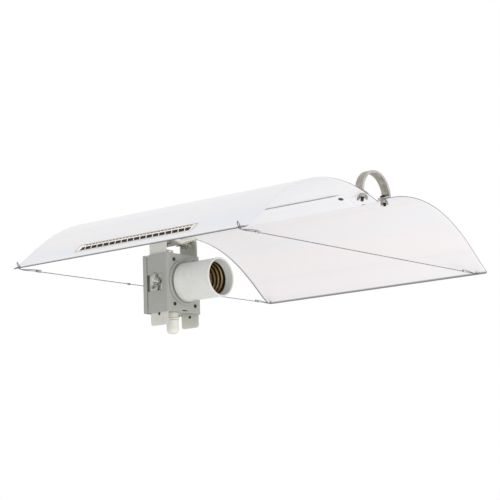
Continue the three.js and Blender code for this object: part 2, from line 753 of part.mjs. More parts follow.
function frontCover() {
  const [bottom, top] = COVER_Z;
  const inner = COVER_HALF_WIDTH - SHELL_THICKNESS;
  const plate = box(FACE_X - SHELL_THICKNESS, FACE_X, -COVER_HALF_WIDTH, COVER_HALF_WIDTH, bottom, top);
  const ear = box(FACE_X - SHELL_THICKNESS, FACE_X, ...COVER_EAR_Y, top - OVERCUT, top + COVER_EAR_HEIGHT);
  const flange = box(COVER_FLANGE_REAR_X, FACE_X, inner, COVER_HALF_WIDTH, bottom, top);
  const sideways = [inner - OVERCUT, COVER_HALF_WIDTH + OVERCUT];
  const notch = box(COVER_FLANGE_REAR_X - OVERCUT, NOTCH_FRONT_X, ...sideways, ...NOTCH_Z);
  const through = [FACE_X - SHELL_THICKNESS - OVERCUT, FACE_X + OVERCUT];
  const slot = box(...through, -FACE_SLOT_HALF_LENGTH, FACE_SLOT_HALF_LENGTH, ...FACE_SLOT_Z);
  const earSlot = box(...through, ...EAR_SLOT_Y, top + EAR_SLOT_RISE[0], top + EAR_SLOT_RISE[1]);
  const body = join(plate, ear, ...bothSides(cut(flange, notch)));
  return cut(body, slot, earSlot, ...faceTools(...through, SMALL_HOLE_RADIUS));
}

function housingBox() {
  const [rear, front] = HOUSING_X;
  const width = HOUSING_HALF_WIDTH;
  const height = HOUSING_HALF_HEIGHT;
  const wall = SHELL_THICKNESS;
  const outside = box(rear, front, -width, width, -height, height);
  const inside = box(rear + wall, front - wall, wall - width, width - wall, wall - height, height - wall);
  const rearWall = [rear - OVERCUT, rear + wall + OVERCUT];
  const opening = box(
    ...rearWall,
    -REAR_OPENING_HALF_WIDTH, REAR_OPENING_HALF_WIDTH,
    -REAR_OPENING_HALF_HEIGHT, REAR_OPENING_HALF_HEIGHT,
  );
  const across = width + OVERCUT;
  const clampHole = bar(M6_HOLE_RADIUS, -across, across, CLAMP_CENTRE, Y_AXIS);
  const floor = [-height - OVERCUT, wall - height + OVERCUT];
  const glandHole = bar(GLAND_SPIGOT_RADIUS + GAP, ...floor, GLAND_AXIS, Z_AXIS, MEDIUM);
  const tools = faceTools(front - wall - OVERCUT, front + OVERCUT, SMALL_HOLE_RADIUS);
  const slotX = [front - FACE_SLOT_DEPTH, front + OVERCUT];
  tools.push(box(...slotX, -FACE_SLOT_HALF_LENGTH, FACE_SLOT_HALF_LENGTH, ...FACE_SLOT_Z));
  return cut(outside, inside, opening, clampHole, glandHole, ...rearScrewTools(...rearWall), ...tools);
}

function rearScrewTools(x0, x1) {
  return [-REAR_SCREW_Z, REAR_SCREW_Z].map((z) => axialTool(SMALL_HOLE_RADIUS, 0, z, x0, x1));
}

function rearCover() {
  const [bottom, top] = COVER_Z;
  const inner = COVER_HALF_WIDTH - SHELL_THICKNESS;
  const plate = box(REAR_X, REAR_X + SHELL_THICKNESS, -COVER_HALF_WIDTH, COVER_HALF_WIDTH, bottom, top);
  const lip = box(REAR_X, REAR_LIP_FRONT_X, inner, COVER_HALF_WIDTH, bottom, top);
  const holes = rearScrewTools(REAR_X - OVERCUT, REAR_X + SHELL_THICKNESS + OVERCUT);
  return cut(join(plate, ...bothSides(lip)), ...holes);
}

// A small cover screw whose head points along a direction.
function coverScrew(length, seat, along) {
  return panScrew(
    SMALL_SCREW_RADIUS, SMALL_SCREW_HEAD_RADIUS, SMALL_SCREW_HEAD_HEIGHT, length, seat, along,
  );
}

function rearScrew(z) {
  const seat = new THREE.Vector3(REAR_X - GAP, 0, z);
  return coverScrew(REAR_SCREW_LENGTH, seat, X_AXIS.clone().negate());
}

function faceScrew(y, z) {
  return coverScrew(FACE_SCREW_LENGTH, new THREE.Vector3(FACE_X + GAP, y, z), X_AXIS);
}

// The clamp pieces are built on the +Y side and mirrored for the -Y side.
const WASHER_Y = LEG_OUTER_Y + GAP;
const CLAMP_NUT_Y = WASHER_Y + M6_WASHER_THICKNESS + GAP;

function clampBolt() {
  const seat = HOUSING_HALF_WIDTH - SHELL_THICKNESS - GAP;
  const head = bar(M6_HEX_RADIUS, seat - M6_HEAD_HEIGHT, seat, CLAMP_CENTRE, Y_AXIS, 6);
  const shank = bar(M6_RADIUS, seat - OVERCUT, CLAMP_NUT_Y + CLAMP_BOLT_REACH, CLAMP_CENTRE, Y_AXIS);
  return join(head, shank);
}

function clampWasher() {
  const edges = [WASHER_Y, WASHER_Y + M6_WASHER_THICKNESS];
  return ring(M6_RADIUS + GAP, M6_WASHER_RADIUS, ...edges, CLAMP_CENTRE, Y_AXIS, MEDIUM);
}

function clampWingNut() {
  const seat = CLAMP_CENTRE.clone().addScaledVector(Y_AXIS, CLAMP_NUT_Y);
  return wingNut(M6_WING_NUT, seat, Y_AXIS, new THREE.Vector3(0.25, 0, 1));
}

// ---------------------------------------------------------------- lampholder

function socketFlange() {
  const disc = ring(LEAD_HOLE_RADIUS, FLANGE_RADIUS, ...FLANGE_X, LAMP_CENTRE, X_AXIS, FINE);
  const edges = [FLANGE_X[0] - OVERCUT, FLANGE_X[1] + OVERCUT];
  const holes = SIDES.map(
    (side) => axialTool(SOCKET_SCREW_RADIUS + GAP, side * SOCKET_SCREW_Y, LAMP_AXIS_Z, ...edges),
  );
  return cut(disc, ...holes);
}

function porcelainSocket() {
  const [rear, mouth] = PORCELAIN_X;
  const outer = PORCELAIN_RADIUS - PORCELAIN_LIP;
  const flare = GAP * 2;
  const profile = [
    [0, rear],
    [outer, rear],
    [PORCELAIN_RADIUS, rear + PORCELAIN_LIP],
    [PORCELAIN_RADIUS, mouth - PORCELAIN_LIP],
    [outer, mouth],
    [PORCELAIN_MOUTH_RADIUS + flare, mouth],
    [PORCELAIN_MOUTH_RADIUS, mouth - flare],
    [PORCELAIN_BORE_RADIUS + flare, THREAD_X[1] + flare],
    [PORCELAIN_BORE_RADIUS, THREAD_X[1] - OVERCUT],
    [PORCELAIN_BORE_RADIUS, PORCELAIN_FLOOR_X],
    [0, PORCELAIN_FLOOR_X],
  ];
  const body = turned(profile, LAMP_CENTRE, X_AXIS, FINE);
  const plungerHole = [rear + PLUNGER_WALL, PORCELAIN_FLOOR_X + OVERCUT];
  const screwHole = [rear - OVERCUT, rear + SOCKET_SCREW_DEPTH];
  const leadHole = [rear - OVERCUT, rear + LEAD_HOLE_DEPTH];
  const tools = [axialTool(PLUNGER_RADIUS + GAP, 0, LAMP_AXIS_Z, ...plungerHole)];
  for (const side of SIDES) {
    const screwY = side * SOCKET_SCREW_Y;
    tools.push(axialTool(SOCKET_SCREW_RADIUS + GAP, screwY, LAMP_AXIS_Z, ...screwHole));
    tools.push(axialTool(LEAD_RADIUS + GAP, side * TERMINAL_Y, LAMP_AXIS_Z, ...leadHole));
  }
  return cut(body, ...tools);
}

// A rolled brass thread: crests and roots at the thread pitch, with an even wall.
function screwShell() {
  const [rear, mouth] = THREAD_X;
  const middle = (THREAD_MAJOR_RADIUS + THREAD_MINOR_RADIUS) / 2;
  const depth = (THREAD_MAJOR_RADIUS - THREAD_MINOR_RADIUS) / 2;
  const count = Math.round(((mouth - rear) / THREAD_PITCH) * 2);
  const inside = [];
  const outside = [];
  for (let i = 0; i <= count; i += 1) {
    const x = rear + ((mouth - rear) * i) / count;
    const wave = i % 2 === 0 ? depth : -depth;
    outside.push([middle + wave, x]);
    inside.push([middle + wave - THREAD_WALL, x]);
  }
  return turned([...outside, ...inside.reverse()], LAMP_CENTRE, X_AXIS, MEDIUM);
}

// A sprung plunger that meets the tip of the lamp's cap.
function centreContact() {
  const rear = PORCELAIN_FLOOR_X + CONTACT_TRAVEL + GAP * 2;
  const profile = [
    [0, rear - PLUNGER_LENGTH],
    [PLUNGER_RADIUS, rear - PLUNGER_LENGTH],
    [PLUNGER_RADIUS, rear],
    [CONTACT_RADIUS, rear],
    [CONTACT_RADIUS, rear + CONTACT_HEIGHT * 0.28],
    [CONTACT_RADIUS * 0.5, rear + CONTACT_HEIGHT * 0.8],
    [0, rear + CONTACT_HEIGHT],
  ];
  return turned(profile, LAMP_CENTRE, X_AXIS, MEDIUM);
}

function socketScrew(side) {
  const x = HOUSING_X[1] - SHELL_THICKNESS - GAP;
  const seat = new THREE.Vector3(x, side * SOCKET_SCREW_Y, LAMP_AXIS_Z);
  const [radius, headRadius, headHeight, length] = SOCKET_SCREW_SIZE;
  return panScrew(radius, headRadius, headHeight, length, seat, X_AXIS.clone().negate());
}

// ---------------------------------------------------------------- cable gland

function glandBody() {
  const under = -HOUSING_HALF_HEIGHT - GAP;
  const [hexBottom, hexTop] = GLAND_HEX_Z;
  const sleeveBottom = hexBottom - GLAND_SLEEVE_LENGTH;
  const along = [GLAND_AXIS, Z_AXIS];
  const spigot = bar(GLAND_SPIGOT_RADIUS, under - OVERCUT, GLAND_TOP_Z, ...along, MEDIUM);
  const collar = bar(GLAND_COLLAR_RADIUS, hexTop - OVERCUT, under, ...along, MEDIUM);
  const hex = bar(GLAND_HEX_RADIUS, hexBottom, hexTop, ...along, 6);
  const sleeve = bar(GLAND_SLEEVE_RADIUS, sleeveBottom, hexBottom + OVERCUT, ...along, MEDIUM);
  const ends = [sleeveBottom - OVERCUT, GLAND_TOP_Z + OVERCUT];
  return cut(join(spigot, collar, hex, sleeve), bar(GLAND_BORE_RADIUS, ...ends, ...along, MEDIUM));
}

function glandLocknut() {
  const seat = SHELL_THICKNESS - HOUSING_HALF_HEIGHT + GAP;
  const hex = bar(LOCKNUT_RADIUS, seat, seat + LOCKNUT_HEIGHT, GLAND_AXIS, Z_AXIS, 6);
  const through = [seat - OVERCUT, seat + LOCKNUT_HEIGHT + OVERCUT];
  return cut(hex, bar(GLAND_SPIGOT_RADIUS + GAP, ...through, GLAND_AXIS, Z_AXIS, MEDIUM));
}

function glandDomeNut() {
  const [bottom, top] = DOME_Z;
  const profile = [
    [DOME_BORE_RADIUS, top],
    [DOME_RADIUS, top],
    [DOME_RADIUS, bottom + 7],
    [DOME_RADIUS - 0.6, bottom + 3],
    [DOME_RADIUS - 2.4, bottom],
    [DOME_MOUTH_RADIUS, bottom],
    [DOME_MOUTH_RADIUS, bottom + 1.6],
    [DOME_BORE_RADIUS, bottom + 3.4],
  ];
  return turned(profile, GLAND_AXIS, Z_AXIS, MEDIUM);
}

function glandSeal() {
  const top = GLAND_HEX_Z[0] - GLAND_SLEEVE_LENGTH - GAP;
  return ring(...SEAL_RADII, SEAL_BOTTOM_Z, top, GLAND_AXIS, Z_AXIS, MEDIUM);
}

// ---------------------------------------------------------------- wiring inside the housing

const BLOCK_MIDDLE_Z = (BLOCK_Z[0] + BLOCK_Z[1]) / 2;

function terminalBlock() {
  const [rear, front] = BLOCK_X;
  const body = box(...BLOCK_X, -BLOCK_HALF_WIDTH, BLOCK_HALF_WIDTH, ...BLOCK_Z);
  const slitZ = [BLOCK_Z[1] - BLOCK_SLIT_DEPTH, BLOCK_Z[1] + OVERCUT];
  const slit = box(rear - OVERCUT, front + OVERCUT, -1, 1, ...slitZ);
  const leadHole = [front - LEAD_HOLE_DEPTH, front + OVERCUT];
  const screwHole = [rear - OVERCUT, rear + TERMINAL_HOLE_DEPTH];
  const tools = [slit];
  for (const side of SIDES) {
    const y = side * TERMINAL_Y;
    tools.push(axialTool(LEAD_RADIUS + GAP * 2, y, BLOCK_MIDDLE_Z, ...leadHole));
    tools.push(axialTool(TERMINAL_SCREW_RADIUS + GAP, y, BLOCK_MIDDLE_Z, ...screwHole));
  }
  return cut(body, ...tools);
}

function terminalScrew(side) {
  const seat = new THREE.Vector3(BLOCK_X[0] + GAP * 2, side * TERMINAL_Y, BLOCK_MIDDLE_Z);
  return bar(TERMINAL_SCREW_RADIUS, 0, TERMINAL_SCREW_LENGTH, seat, X_AXIS);
}

// An insulated lead from the terminal block to the back of the porcelain.
function lead(side) {
  const front = BLOCK_X[1];
  const at = (x, z) => new THREE.Vector3(x, side * TERMINAL_Y, z);
  const route = new THREE.CatmullRomCurve3([
    at(front - 5, BLOCK_MIDDLE_Z),
    at(front + 1, BLOCK_MIDDLE_Z),
    at(front + 5, BLOCK_MIDDLE_Z - 5),
    at(front + 9, LAMP_AXIS_Z + 4),
    at(front + 14, LAMP_AXIS_Z),
    at(PORCELAIN_X[0] + 5, LAMP_AXIS_Z),
  ], false, "centripetal");
  return wireAlong(route, LEAD_RADIUS, LEAD_STEPS);
}

// ---------------------------------------------------------------- assembly

const lamp = new THREE.Group();
const crownUnderside = LOOP_CENTRE_Z + LOOP_OUTER_RADIUS - LOOP_THICKNESS;
const hangingPoint = new THREE.Vector3(MIDDLE_X, 0, crownUnderside);
lamp.position.copy(hangingPoint).negate();

function add(name, body, finish) {
  const mesh = new THREE.Mesh(geometryOf(body), new THREE.MeshStandardMaterial(FINISHES[finish]));
  mesh.name = name;
  lamp.add(mesh);
}

add("reflector_sheet", reflectorSheet(), "enamel");
add("ridge_spine", ridgeSpine(), "enamel");
add("rating_label", ratingLabel(), "label");
WIRE_X.forEach((x, i) => add(`bow_wire_${i + 1}`, bowWire(x), "wire"));
add("wire_stop", wireStop(), "zinc");
add("lamp_bracket", lampBracket(), "creamPaint");
add("saddle_pad", saddlePad(), "nylon");
LOOP_X.forEach((x, i) => add(`hanger_loop_${i + 1}`, hangerLoop(x), "galvanised"));

for (const side of SIDES) {
  const hand = side < 0 ? "right" : "left";
  const turn = (body) => (side < 0 ? mirrored(body) : body);
  WIRE_X.forEach((x, i) => add(`wire_ferrule_${i + 1}_${hand}`, turn(wireFerrule(x)), "zinc"));
  RIVET_X.forEach((x, i) => {
    add(`spine_rivet_${i + 1}_${hand}`, spineRivet(x, side * RIVET_Y), "blackPlastic");
  });
  LOOP_X.forEach((x, i) => {
    add(`loop_screw_${i + 1}_${hand}`, loopScrew(x, side * LOOP_SCREW_Y), "blackSteel");
    add(`loop_wing_nut_${i + 1}_${hand}`, loopWingNut(x, side * LOOP_SCREW_Y), "galvanised");
  });
  add(`saddle_bolt_${hand}`, saddleBolt(side), "zinc");
  add(`saddle_wing_nut_${hand}`, saddleWingNut(side), "galvanised");
  add(`clamp_bolt_${hand}`, turn(clampBolt()), "zinc");
  add(`clamp_washer_${hand}`, turn(clampWasher()), "zinc");
  add(`clamp_wing_nut_${hand}`, turn(clampWingNut()), "zinc");
  add(`socket_screw_${hand}`, socketScrew(side), "zinc");
  add(`terminal_screw_${hand}`, terminalScrew(side), "brass");
  add(`lead_${side < 0 ? "live" : "neutral"}`, lead(side), side < 0 ? "rubber" : "nylon");
  FACE_SCREW_Z.forEach((z, i) => {
    const level = i === 0 ? "top" : "bottom";
    add(`face_screw_${level}_${hand}`, faceScrew(side * FACE_SCREW_Y, z), "blackSteel");
  });
}

add("front_cover", frontCover(), "greyPaint");
add("housing_box", housingBox(), "greyPaint");
add("rear_cover", rearCover(), "greyPaint");
add("rear_screw_top", rearScrew(REAR_SCREW_Z), "zinc");
add("rear_screw_bottom", rearScrew(-REAR_SCREW_Z), "zinc");
add("socket_flange", socketFlange(), "greyPaint");
add("porcelain_socket", porcelainSocket(), "porcelain");
add("screw_shell", screwShell(), "brass");
add("centre_contact", centreContact(), "brass");
add("gland_body", glandBody(), "nylon");
add("gland_locknut", glandLocknut(), "nylon");
add("gland_dome_nut", glandDomeNut(), "nylon");
add("gland_seal", glandSeal(), "rubber");
add("terminal_block", terminalBlock(), "porcelain");

const part = new THREE.Group();
part.add(lamp);

export default part;
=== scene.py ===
import bmesh
import bpy
import json
import math
import numpy as np
from mathutils import Matrix, Vector, geometry


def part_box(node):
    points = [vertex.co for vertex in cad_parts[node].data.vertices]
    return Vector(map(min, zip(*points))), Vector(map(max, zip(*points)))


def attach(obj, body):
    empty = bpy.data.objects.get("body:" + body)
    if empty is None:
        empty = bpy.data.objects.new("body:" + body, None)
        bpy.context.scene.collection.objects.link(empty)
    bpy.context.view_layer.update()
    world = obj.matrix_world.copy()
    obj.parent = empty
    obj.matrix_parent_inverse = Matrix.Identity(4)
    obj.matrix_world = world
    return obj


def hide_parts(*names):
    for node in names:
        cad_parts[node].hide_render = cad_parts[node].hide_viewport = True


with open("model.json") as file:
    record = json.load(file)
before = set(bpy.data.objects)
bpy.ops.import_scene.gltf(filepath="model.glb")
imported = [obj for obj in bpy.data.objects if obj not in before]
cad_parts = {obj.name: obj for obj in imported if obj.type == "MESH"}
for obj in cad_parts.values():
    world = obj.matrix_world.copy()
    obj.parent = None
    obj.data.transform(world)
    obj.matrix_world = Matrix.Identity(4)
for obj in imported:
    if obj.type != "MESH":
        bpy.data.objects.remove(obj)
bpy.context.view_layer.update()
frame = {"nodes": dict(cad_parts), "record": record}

# ------------------------------------------------------------------ the shared frame
# The pieces are drawn in millimetres from the reflector's lampholder end (x = 0), the ridge's
# centre plane (y = 0) and the height of the wing tips (z = 0), as the CAD part is.

LOOP_TOP_Z = 120.0
FRAME_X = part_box("reflector_sheet")[0].x * 1000
FRAME_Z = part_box("hanger_loop_1")[1].z * 1000 - LOOP_TOP_Z
SHEET_X = (0.0, 443.0)
HALF_SPAN = 301.0


def metres(points):
    """Design millimetres to the part's frame in metres."""
    return (np.asarray(points, float) + (FRAME_X, 0.0, FRAME_Z)) / 1000


def unit(v):
    """A vector's direction."""
    v = np.asarray(v, float)
    return v / np.linalg.norm(v)


# ------------------------------------------------------------------ materials

def srgb(r, g, b):
    """A colour given as 0 to 255 screen values."""
    out = []
    for c in (r, g, b):
        c = c / 255
        out.append(c / 12.92 if c <= 0.04045 else ((c + 0.055) / 1.055) ** 2.4)
    return (*out, 1.0)


class Graph:
    """A material's node tree, with the principled shader in place."""

    def __init__(self, name, roughness, metallic=0.0, **fixed):
        self.material = bpy.data.materials.new(name)
        self.material.use_nodes = True
        self.tree = self.material.node_tree
        self.shader = next(n for n in self.tree.nodes if n.type == "BSDF_PRINCIPLED")
        self.shader.inputs["Roughness"].default_value = roughness
        self.shader.inputs["Metallic"].default_value = metallic
        for key, value in fixed.items():
            self.shader.inputs[key.replace("_", " ")].default_value = value
        self.coords = self.tree.nodes.new("ShaderNodeTexCoord").outputs["Object"]

    def node(self, kind, links=(), **settings):
        """A node whose inputs are linked to sockets or set to values."""
        n = self.tree.nodes.new(kind)
        for key, value in settings.items():
            setattr(n, key, value)
        for socket, source in dict(links).items():
            if isinstance(source, bpy.types.NodeSocket):
                self.tree.links.new(source, n.inputs[socket])
            else:
                n.inputs[socket].default_value = source
        return n

    def axes(self):
        """The object's coordinates along x, y and z, in metres."""
        return self.node("ShaderNodeSeparateXYZ", {"Vector": self.coords}).outputs

    def stretched(self, scale):
        """The object's coordinates, scaled differently along each axis."""
        links = {"Vector": self.coords, "Scale": scale}
        return self.node("ShaderNodeMapping", links).outputs["Vector"]

    def noise(self, scale, detail=3.0, vector=None, roughness=0.5):
        """A number that wanders over the surface, about 0.5."""
        links = {"Vector": vector or self.coords, "Scale": scale, "Detail": detail,
                 "Roughness": roughness}
        return self.node("ShaderNodeTexNoise", links).outputs["Fac"]

    def ramp(self, factor, stops):
        """Colours at positions along a factor."""
        n = self.node("ShaderNodeValToRGB", {"Fac": factor})
        elements = n.color_ramp.elements
        while len(elements) < len(stops):
            elements.new(0.5)
        for element, (at, colour) in zip(elements, stops):
            element.position = at
            element.color = colour
        return n.outputs["Color"]

    def between(self, factor, low, high, from_low=0.3, from_high=0.7):
        """A number that follows a factor from low to high."""
        links = {"Value": factor, "From Min": from_low, "From Max": from_high,
                 "To Min": low, "To Max": high}
        return self.node("ShaderNodeMapRange", links).outputs["Result"]

    def math(self, operation, a, b=0.0):
        """A sum, product or comparison of one or two numbers."""
        return self.node("ShaderNodeMath", {0: a, 1: b}, operation=operation).outputs[0]

    def mix(self, factor, a, b):
        """Two colours mixed; the colour sockets of a mix node are 6 and 7 in, and 2 out."""
        return self.node("ShaderNodeMix", {0: factor, 6: a, 7: b}, data_type="RGBA").outputs[2]

    def mottle(self, scale, detail, low, high):
        """A colour that wanders between two."""
        return self.ramp(self.noise(scale, detail), [(0.3, low), (0.7, high)])

    def set(self, socket, source):
        """Links a source to the shader."""
        self.tree.links.new(source, self.shader.inputs[socket])

    def rough(self, scale, detail, low, high):
        """Roughness that wanders between two values."""
        self.set("Roughness", self.between(self.noise(scale, detail), low, high))

    def bump(self, height, strength, distance):
        """Relief that follows a height, its distance in metres."""
        links = {"Height": height, "Strength": strength, "Distance": distance}
        self.set("Normal", self.node("ShaderNodeBump", links).outputs["Normal"])


def scaled(colour, k):
    """A colour made darker or paler."""
    return (*[min(1.0, c * k) for c in colour[:3]], 1.0)


def white_enamel():
    """Stove enamel, with a grey band of painted shade along the wing tips and the left wing's
    lampholder end.
    """
    g = Graph("white_enamel", 0.3, Specular_IOR_Level=0.4)
    base = srgb(234, 233, 235)
    speck = g.noise(420, 2)
    tone = g.mottle(5, 2, scaled(base, 0.985), base)
    bands = g.noise(7, 3, g.stretched((0.12, 2.2, 2.2)))
    tone = g.mix(g.between(bands, 0.0, 0.8, 0.45, 0.7), tone, srgb(241, 232, 231))
    tone = g.mix(g.between(bands, 0.8, 0.0, 0.3, 0.45), tone, srgb(224, 229, 238))
    rolled = g.noise(22, 2, g.stretched((0.04, 1.4, 1.4)))
    tone = g.mix(g.between(rolled, 0.0, 0.28, 0.56, 0.72), tone, srgb(219, 219, 222))
    tone = g.mix(g.between(speck, 0.0, 0.12, 0.62, 0.75), tone, srgb(228, 228, 226))
    axes = g.axes()
    across = g.math("ABSOLUTE", axes[1])
    # Painted shade: a grey band along the wing tips and at the left wing's lampholder end, standing for
    # the shadow at the sheet's edges.
    tip_shade_start, tip_shade_full = (HALF_SPAN - 7.5) / 1000, (HALF_SPAN - 4.0) / 1000
    tip = g.between(across, 0.0, 1.0, tip_shade_start, tip_shade_full)
    end_shade_full, end_shade_start = ((SHEET_X[0] + x + FRAME_X) / 1000 for x in (1.2, 4.2))
    end = g.between(axes[0], 1.0, 0.0, end_shade_full, end_shade_start)
    left_wing = g.math("GREATER_THAN", axes[1], -0.01)
    end = g.math("MULTIPLY", end, left_wing)
    painted_edge_shade = g.math("MAXIMUM", tip, end)
    g.set("Base Color", g.mix(painted_edge_shade, tone, srgb(112, 112, 114)))
    streak = g.noise(4, 2, g.stretched((0.6, 3.0, 3.0)))
    g.set("Roughness", g.between(streak, 0.27, 0.34))
    peel = g.noise(520, 2)
    g.bump(peel, 0.06, 0.00004)
    return g.material


def cut_edge():
    """Bare aluminium on the sheet's cut edges, darkened with painted shade, and near white with a
    painted highlight at the lamp's end of the right wing.
    """
    g = Graph("cut_edge_painted_shade_and_highlight", 0.4, 0.5)
    n = g.noise(300, 3, g.stretched((0.2, 1.0, 1.0)))
    # The edges' grey is partly the metal's own colour and partly painted shade along the sheet's edges.
    shaded_bare_edge = g.ramp(n, [(0.3, srgb(90, 91, 94)), (0.7, srgb(118, 119, 122))])
    axes = g.axes()
    # Painted highlight: the edge at the lamp's end of the right wing is made near white.
    lamp_end = g.between(axes[0], 0.0, 1.0, 0.215, 0.219)
    right_wing = g.between(axes[1], 1.0, 0.0, -0.13, -0.04)
    short_of_tip = g.between(axes[1], 0.0, 1.0, -0.3, -0.296)
    painted = g.math("MULTIPLY", g.math("MULTIPLY", lamp_end, right_wing), short_of_tip)
    g.set("Base Color", g.mix(painted, shaded_bare_edge, srgb(222, 220, 222)))
    g.set("Roughness", g.between(n, 0.32, 0.5))
    return g.material


def shaded_spine_rim():
    """Enamel with grey painted shade on the spine's edges, and painted light that turns it white at the
    lamp's end, where the edge's shade would show.
    """
    g = Graph("spine_rim_painted_shade", 0.4)
    # Painted shade: the grey mottle stands for the shade along the spine's edges.
    tone = g.mottle(260, 3, srgb(158, 159, 163), srgb(182, 183, 187))
    axes = g.axes()
    # Painted light: at the lamp's end the rim is turned white, hiding its shade.
    lamp_end = g.between(axes[0], 0.0, 1.0, 0.170, 0.178)
    g.set("Base Color", g.mix(lamp_end, tone, srgb(230, 229, 231)))
    g.rough(180, 2, 0.34, 0.46)
    return g.material


def metal(name, low, high, metallic, rough, grain, spangle=0.0):
    """Plated or galvanised steel, with zinc spangles where the finish has them."""
    g = Graph(name, rough[0], metallic)
    tone = g.mottle(140, 4, low, high)
    if spangle:
        cells = g.node("ShaderNodeTexVoronoi", {"Vector": g.coords, "Scale": 320.0})
        grey = g.node("ShaderNodeSeparateColor", {"Color": cells.outputs["Color"]}).outputs[0]
        tone = g.mix(g.math("MULTIPLY", grey, spangle), tone, scaled(low, 0.8))
        g.set("Roughness", g.between(grey, *rough, 0.0, 1.0))
    else:
        g.rough(grain, 3, *rough)
    g.set("Base Color", tone)
    lines = g.noise(grain, 3, g.stretched((1.0, 0.25, 1.0)))
    g.bump(lines, 0.2, 0.00005)
    return g.material


def powder_coat(name, colour, rough):
    """Baked powder paint with its fine grain."""
    g = Graph(name, rough)
    fleck = g.noise(1500, 2)
    tone = g.mottle(35, 3, scaled(colour, 0.94), scaled(colour, 1.03))
    g.set("Base Color", g.mix(g.between(fleck, 0.0, 0.16, 0.55, 0.75), tone, scaled(colour, 0.72)))
    g.rough(210, 3, rough - 0.07, rough + 0.08)
    g.bump(g.noise(1100, 3), 0.22, 0.00008)
    return g.material


def moulded(name, colour, rough, grain=900, dust=0.08, bump=0.16):
    """A moulded plastic or rubber."""
    g = Graph(name, rough)
    tone = g.mottle(60, 3, scaled(colour, 0.93), scaled(colour, 1.04))
    dusty = g.between(g.noise(260, 4), 0.0, dust, 0.55, 0.8)
    g.set("Base Color", g.mix(dusty, tone, srgb(150, 148, 142)))
    g.rough(180, 3, rough - 0.06, rough + 0.07)
    g.bump(g.noise(grain, 3), bump, 0.00006)
    return g.material


def glazed_porcelain():
    """Off-white glaze with small iron specks."""
    g = Graph("glazed_porcelain", 0.3, Coat_Weight=0.25, Coat_Roughness=0.15)
    tone = g.mottle(45, 3, srgb(206, 207, 202), srgb(214, 215, 211))
    speck = g.between(g.noise(640, 2), 0.0, 0.5, 0.68, 0.78)
    g.set("Base Color", g.mix(speck, tone, srgb(168, 158, 138)))
    g.rough(120, 2, 0.26, 0.36)
    g.bump(g.noise(70, 2), 0.08, 0.0003)
    return g.material


THREAD_RADII = (23.2, 24.9)
LAMP_Z = 1.0


def rolled_brass():
    """Brass, bright on the thread's narrow turns and darkened with painted shade in its wide ones."""
    g = Graph("rolled_brass", 0.3, 1.0)
    tarnish = g.noise(110, 5, roughness=0.6)
    stops = [(0.28, srgb(188, 156, 108)), (0.5, srgb(232, 206, 162)), (0.75, srgb(250, 234, 202))]
    bright = g.ramp(tarnish, stops)
    axes = g.axes()
    rise = g.math("SUBTRACT", axes[2], (LAMP_Z + FRAME_Z) / 1000)
    radius = g.math("SQRT", g.math("ADD", g.math("MULTIPLY", axes[1], axes[1]),
                                   g.math("MULTIPLY", rise, rise)))
    low, high = (r / 1000 for r in THREAD_RADII)
    # Painted shade: the thread's wide turns, away from the axis, are darkened towards dark brown.
    depth = g.between(radius, 0.0, 1.0, low + (high - low) * 0.12, low + (high - low) * 0.6)
    g.set("Base Color", g.mix(depth, bright, srgb(84, 66, 42)))
    g.set("Roughness", g.between(tarnish, 0.42, 0.24))
    lines = g.noise(900, 3, g.stretched((1.0, 0.15, 0.15)))
    g.bump(lines, 0.12, 0.00004)
    return g.material


LABEL_X = (107.5, 332.0)
LABEL_Y = (-281.5, -265.0)


def label_film():
    """White film with a tan outline and a slanted hatch, all without lettering."""
    g = Graph("label_film", 0.6, Specular_IOR_Level=0.12)
    axes = g.axes()
    x0, x1 = (metres([[x, 0, 0]])[0][0] for x in LABEL_X)
    y0, y1 = (y / 1000 for y in LABEL_Y)
    along = g.node("ShaderNodeMapRange", {"Value": axes[0], "From Min": x0, "From Max": x1}).outputs[0]
    across = g.node("ShaderNodeMapRange", {"Value": axes[1], "From Min": y0, "From Max": y1}).outputs[0]

    def inside(value, low, high):
        """1 where a number lies between two others."""
        above = g.math("GREATER_THAN", value, low)
        return g.math("MULTIPLY", above, g.math("LESS_THAN", value, high))

    def window(a0, a1, b0, b1):
        """1 in a rectangle, in shares of the film's length and width."""
        return g.math("MULTIPLY", inside(along, a0, a1), inside(across, b0, b1))

    outer, inner = window(0.004, 0.996, 0.05, 0.95), window(0.011, 0.989, 0.13, 0.87)
    frame_line = g.math("SUBTRACT", outer, inner)

    def row(count, lean, fill, low, high):
        """1 on the strokes of a slanted hatch between two heights."""
        slant = g.math("ADD", g.math("MULTIPLY", along, count), g.math("MULTIPLY", across, lean))
        strokes = g.math("LESS_THAN", g.math("FRACT", slant), fill)
        return g.math("MULTIPLY", strokes, window(0.045, 0.97, low, high))

    hatch = row(19.0, 1.1, 0.88, 0.14, 0.56)
    fine_hatch = row(34.0, 1.4, 0.8, 0.72, 0.85)
    paper = g.mottle(60, 3, srgb(240, 239, 234), srgb(250, 249, 246))
    lined = g.mix(frame_line, paper, srgb(186, 158, 126))
    lined = g.mix(fine_hatch, lined, srgb(104, 78, 66))
    g.set("Base Color", g.mix(hatch, lined, srgb(26, 23, 24)))
    g.rough(240, 2, 0.55, 0.68)
    g.bump(g.noise(320, 2), 0.08, 0.00005)
    return g.material


